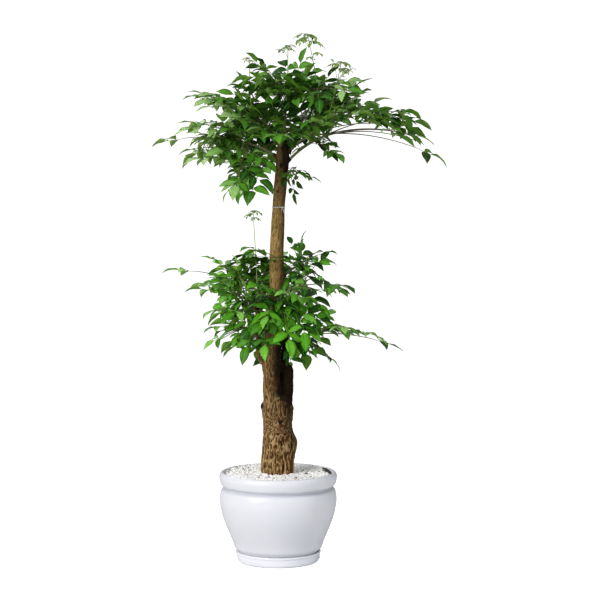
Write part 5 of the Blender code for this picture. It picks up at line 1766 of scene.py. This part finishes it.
@dataclass
class Studio:
    """Pale floor, soft lights and the camera."""

    camera_place: Place = (0.074, -6.0, 1.27 + STAND)
    pitch: float = math.radians(3.738)
    focal_pixels: float = 1785.98
    frame_pixels: float = 600.0
    sensor: float = 36.0
    lit_point: Place = (0.0, 0.0, 0.85)

    def floor(self) -> bpy.types.Object:
        """Floor that turns up into a backdrop far behind the plant.

        Formula: level to a line, then a quarter circle, then upright.
        """
        angle = np.linspace(0.0, np.pi / 2, 24)
        bend = np.stack([9.0 + 3.0 * np.sin(angle), 3.0 - 3.0 * np.cos(angle)], axis=-1)
        profile = np.concatenate([[(-14.0, 0.0), (-2.0, 0.0)], bend, [(12.0, 16.0)]])
        sides = np.array([-16.0, 16.0])
        points = np.stack([np.broadcast_to(sides, (len(profile), 2)),
                           np.broadcast_to(profile[:, :1], (len(profile), 2)),
                           np.broadcast_to(profile[:, 1:] - 0.0006, (len(profile), 2))], axis=-1)
        low = np.arange(len(profile) - 1)[:, None] * 2
        quads = low + np.array([0, 1, 3, 2])
        surface = plain_surface(points.reshape(-1, 3), quads, np.zeros((0, 3), int))
        mesh = build_mesh("floor", [surface])
        material, bench, shader = Finish("pale_floor", roughness=0.95, specular=0.0).start()
        shader.inputs["Base Color"].default_value = (0.65, 0.65, 0.65, 1.0)
        ray = bench.add("LightPath").outputs["Is Camera Ray"]
        bench.feed(shader.inputs["Emission Color"],
                   bench.blend(ray, (0.0, 0.0, 0.0), (1.0, 1.0, 1.0)))
        shader.inputs["Emission Strength"].default_value = 0.88
        mesh.materials.append(material)
        floor = bpy.data.objects.new("floor", mesh)
        bpy.context.scene.collection.objects.link(floor)
        return floor

    def light(self, name: str, place: Place, size: float, watts: float,
              colour: Colour = (1.0, 1.0, 1.0), glossy: bool = True) -> None:
        """Round area light that looks at the middle of the plant.

        Args:
            name: Name of the light.
            place: Where it stands.
            size: How wide it is.
            watts: Its power.
            colour: Its colour.
            glossy: Whether shiny pieces mirror it.
        """
        data = bpy.data.lights.new(name, "AREA")
        data.shape = "DISK"
        data.size = size
        data.energy = watts
        data.color = colour
        lamp = bpy.data.objects.new(name, data)
        lamp.visible_glossy = glossy
        lamp.location = place
        aim = Vector(self.lit_point) - Vector(place)
        lamp.rotation_euler = aim.to_track_quat("-Z", "Y").to_euler()
        bpy.context.scene.collection.objects.link(lamp)

    def sky(self, seen: float, lit: float) -> None:
        """White surroundings, brighter to the camera than as a light."""
        world = bpy.data.worlds.new("surroundings")
        world.use_nodes = True
        bench = Bench(world.node_tree)
        background = world.node_tree.nodes["Background"]
        ray = bench.add("LightPath").outputs["Is Camera Ray"]
        bench.feed(background.inputs["Strength"], bench.math("MULTIPLY_ADD", ray, seen - lit, lit))
        background.inputs["Color"].default_value = (1.0, 1.0, 1.0, 1.0)
        bpy.context.scene.world = world

    def camera(self) -> None:
        """Camera at the photograph's angle."""
        data = bpy.data.cameras.new("camera")
        data.sensor_width = self.sensor
        data.lens = self.focal_pixels / self.frame_pixels * self.sensor
        data.clip_end = 60.0
        camera = bpy.data.objects.new("camera", data)
        camera.location = self.camera_place
        camera.rotation_euler = (math.radians(90.0) - self.pitch, 0.0, 0.0)
        bpy.context.scene.collection.objects.link(camera)
        bpy.context.scene.camera = camera

    def build(self) -> None:
        """Set the studio up."""
        self.camera()
        self.floor()
        self.light("key", (-3.2, -3.3, 2.7), 3.2, 248.0)
        self.light("fill", (3.4, -3.0, 1.2), 2.4, 82.0, (0.93, 0.95, 1.0), glossy=False)
        self.light("back", (-1.8, 3.2, 3.4), 2.0, 60.0)
        self.sky(seen=1.0, lit=0.32)
        bpy.context.scene.view_settings.view_transform = "Standard"


# ---- Assembly ----

def leaf_finishes() -> dict[Tier, list[bpy.types.Material]]:
    """Materials of stalks, upper sides and undersides for each storey."""
    return {
        Tier.UPPER: [
            StalkFinish("stalk_upper", roughness=0.55, green=(0.080, 0.130, 0.030)).build(),
            LeafFinish("leaf_upper_side", roughness=0.40, specular=0.17).build(),
            LeafFinish("leaf_upper_underside", roughness=0.6, specular=0.12,
                       dark=(0.010, 0.055, 0.001), middle=(0.085, 0.210, 0.012),
                       bright=(0.200, 0.360, 0.070), vein=(0.230, 0.390, 0.100),
                       raised=True).build()],
        Tier.LOWER: [
            StalkFinish("stalk_lower", roughness=0.55, green=(0.110, 0.200, 0.035)).build(),
            LeafFinish("leaf_lower_side", roughness=0.40, specular=0.17,
                       dark=(0.004, 0.050, 0.000), middle=(0.084, 0.345, 0.006),
                       bright=(0.290, 0.560, 0.130), vein=(0.300, 0.560, 0.150)).build(),
            LeafFinish("leaf_lower_underside", roughness=0.6, specular=0.12,
                       dark=(0.014, 0.080, 0.001), middle=(0.100, 0.260, 0.014),
                       bright=(0.210, 0.420, 0.070), vein=(0.240, 0.440, 0.100),
                       raised=True).build()],
        Tier.YOUNG: [
            StalkFinish("stalk_young", roughness=0.5, green=(0.230, 0.340, 0.110),
                        brown=(0.260, 0.240, 0.110)).build(),
            LeafFinish("leaf_young_side", roughness=0.4, dark=(0.140, 0.300, 0.030),
                       middle=(0.220, 0.400, 0.060), bright=(0.340, 0.480, 0.120),
                       vein=(0.360, 0.500, 0.160)).build(),
            LeafFinish("leaf_young_underside", roughness=0.5, dark=(0.180, 0.320, 0.060),
                       middle=(0.260, 0.400, 0.100), bright=(0.360, 0.480, 0.160),
                       vein=(0.400, 0.520, 0.200), raised=True).build()],
    }


def main() -> None:
    """Build the plant, from the saucer up, and the studio round it."""
    logging.basicConfig(level=logging.INFO, format="%(name)s: %(message)s")
    Studio().build()
    bright_glaze = GlazeFinish("saucer_white", roughness=0.12, coat=0.4,
                               thin=(0.80, 0.80, 0.84), thick=(0.74, 0.75, 0.81))
    glaze = GlazeFinish("pot_white", roughness=0.24, coat=0.03, specular=0.30)
    pieces = [Saucer().build(bright_glaze.build()), Pot().build(glaze.build())]
    crumbs = CrumbFinish("soil_crumbs", roughness=0.95).build()
    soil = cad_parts["potting_soil"]
    soil.data.materials.clear()
    soil.data.materials.append(crumbs)
    pieces += GravelBed().build(StoneFinish("white_stone", roughness=0.6).build(), crumbs)
    wood = Trunk()
    pieces.append(wood.build(BarkFinish("bark", roughness=0.9, specular=0.10).build()))
    pieces.append(TieThread().build(ThreadFinish("white_thread", roughness=0.7).build()))

    finishes = leaf_finishes()
    rule, shape = LeafRule(), BladeShape()
    top, below = (Vector(row[:3]) for row in (Limb.SIDE_STEM.value[-1], Limb.SIDE_STEM.value[-2]))
    ends = {"side_stem": (top, (top - below).normalized())}
    for plan in SHOOTS:
        piece, tip, direction = LeafyShoot(plan).build(rule, shape, wood, finishes[plan.tier])
        ends[plan.name] = (tip, direction)
        pieces.append(piece)
    young = BladeShape(stations=(0.0, 0.06, 0.20, 0.45, 0.70, 0.88), width=(0.40, 0.54), share=1.0,
                       curl=(0.5, 1.3), stalk=0.0004)
    for plan in SPROUTS:
        end, direction = ends[plan.carrier]
        pieces.append(YoungShoot(plan).build(rule, young, end, direction, finishes[Tier.YOUNG]))

    for piece in pieces:
        LOG.info("%s: %d faces", piece.name, len(piece.data.polygons))
    LOG.info("%d pieces, %d faces", len(pieces), sum(len(piece.data.polygons) for piece in pieces))


if __name__ == "__main__":
    main()
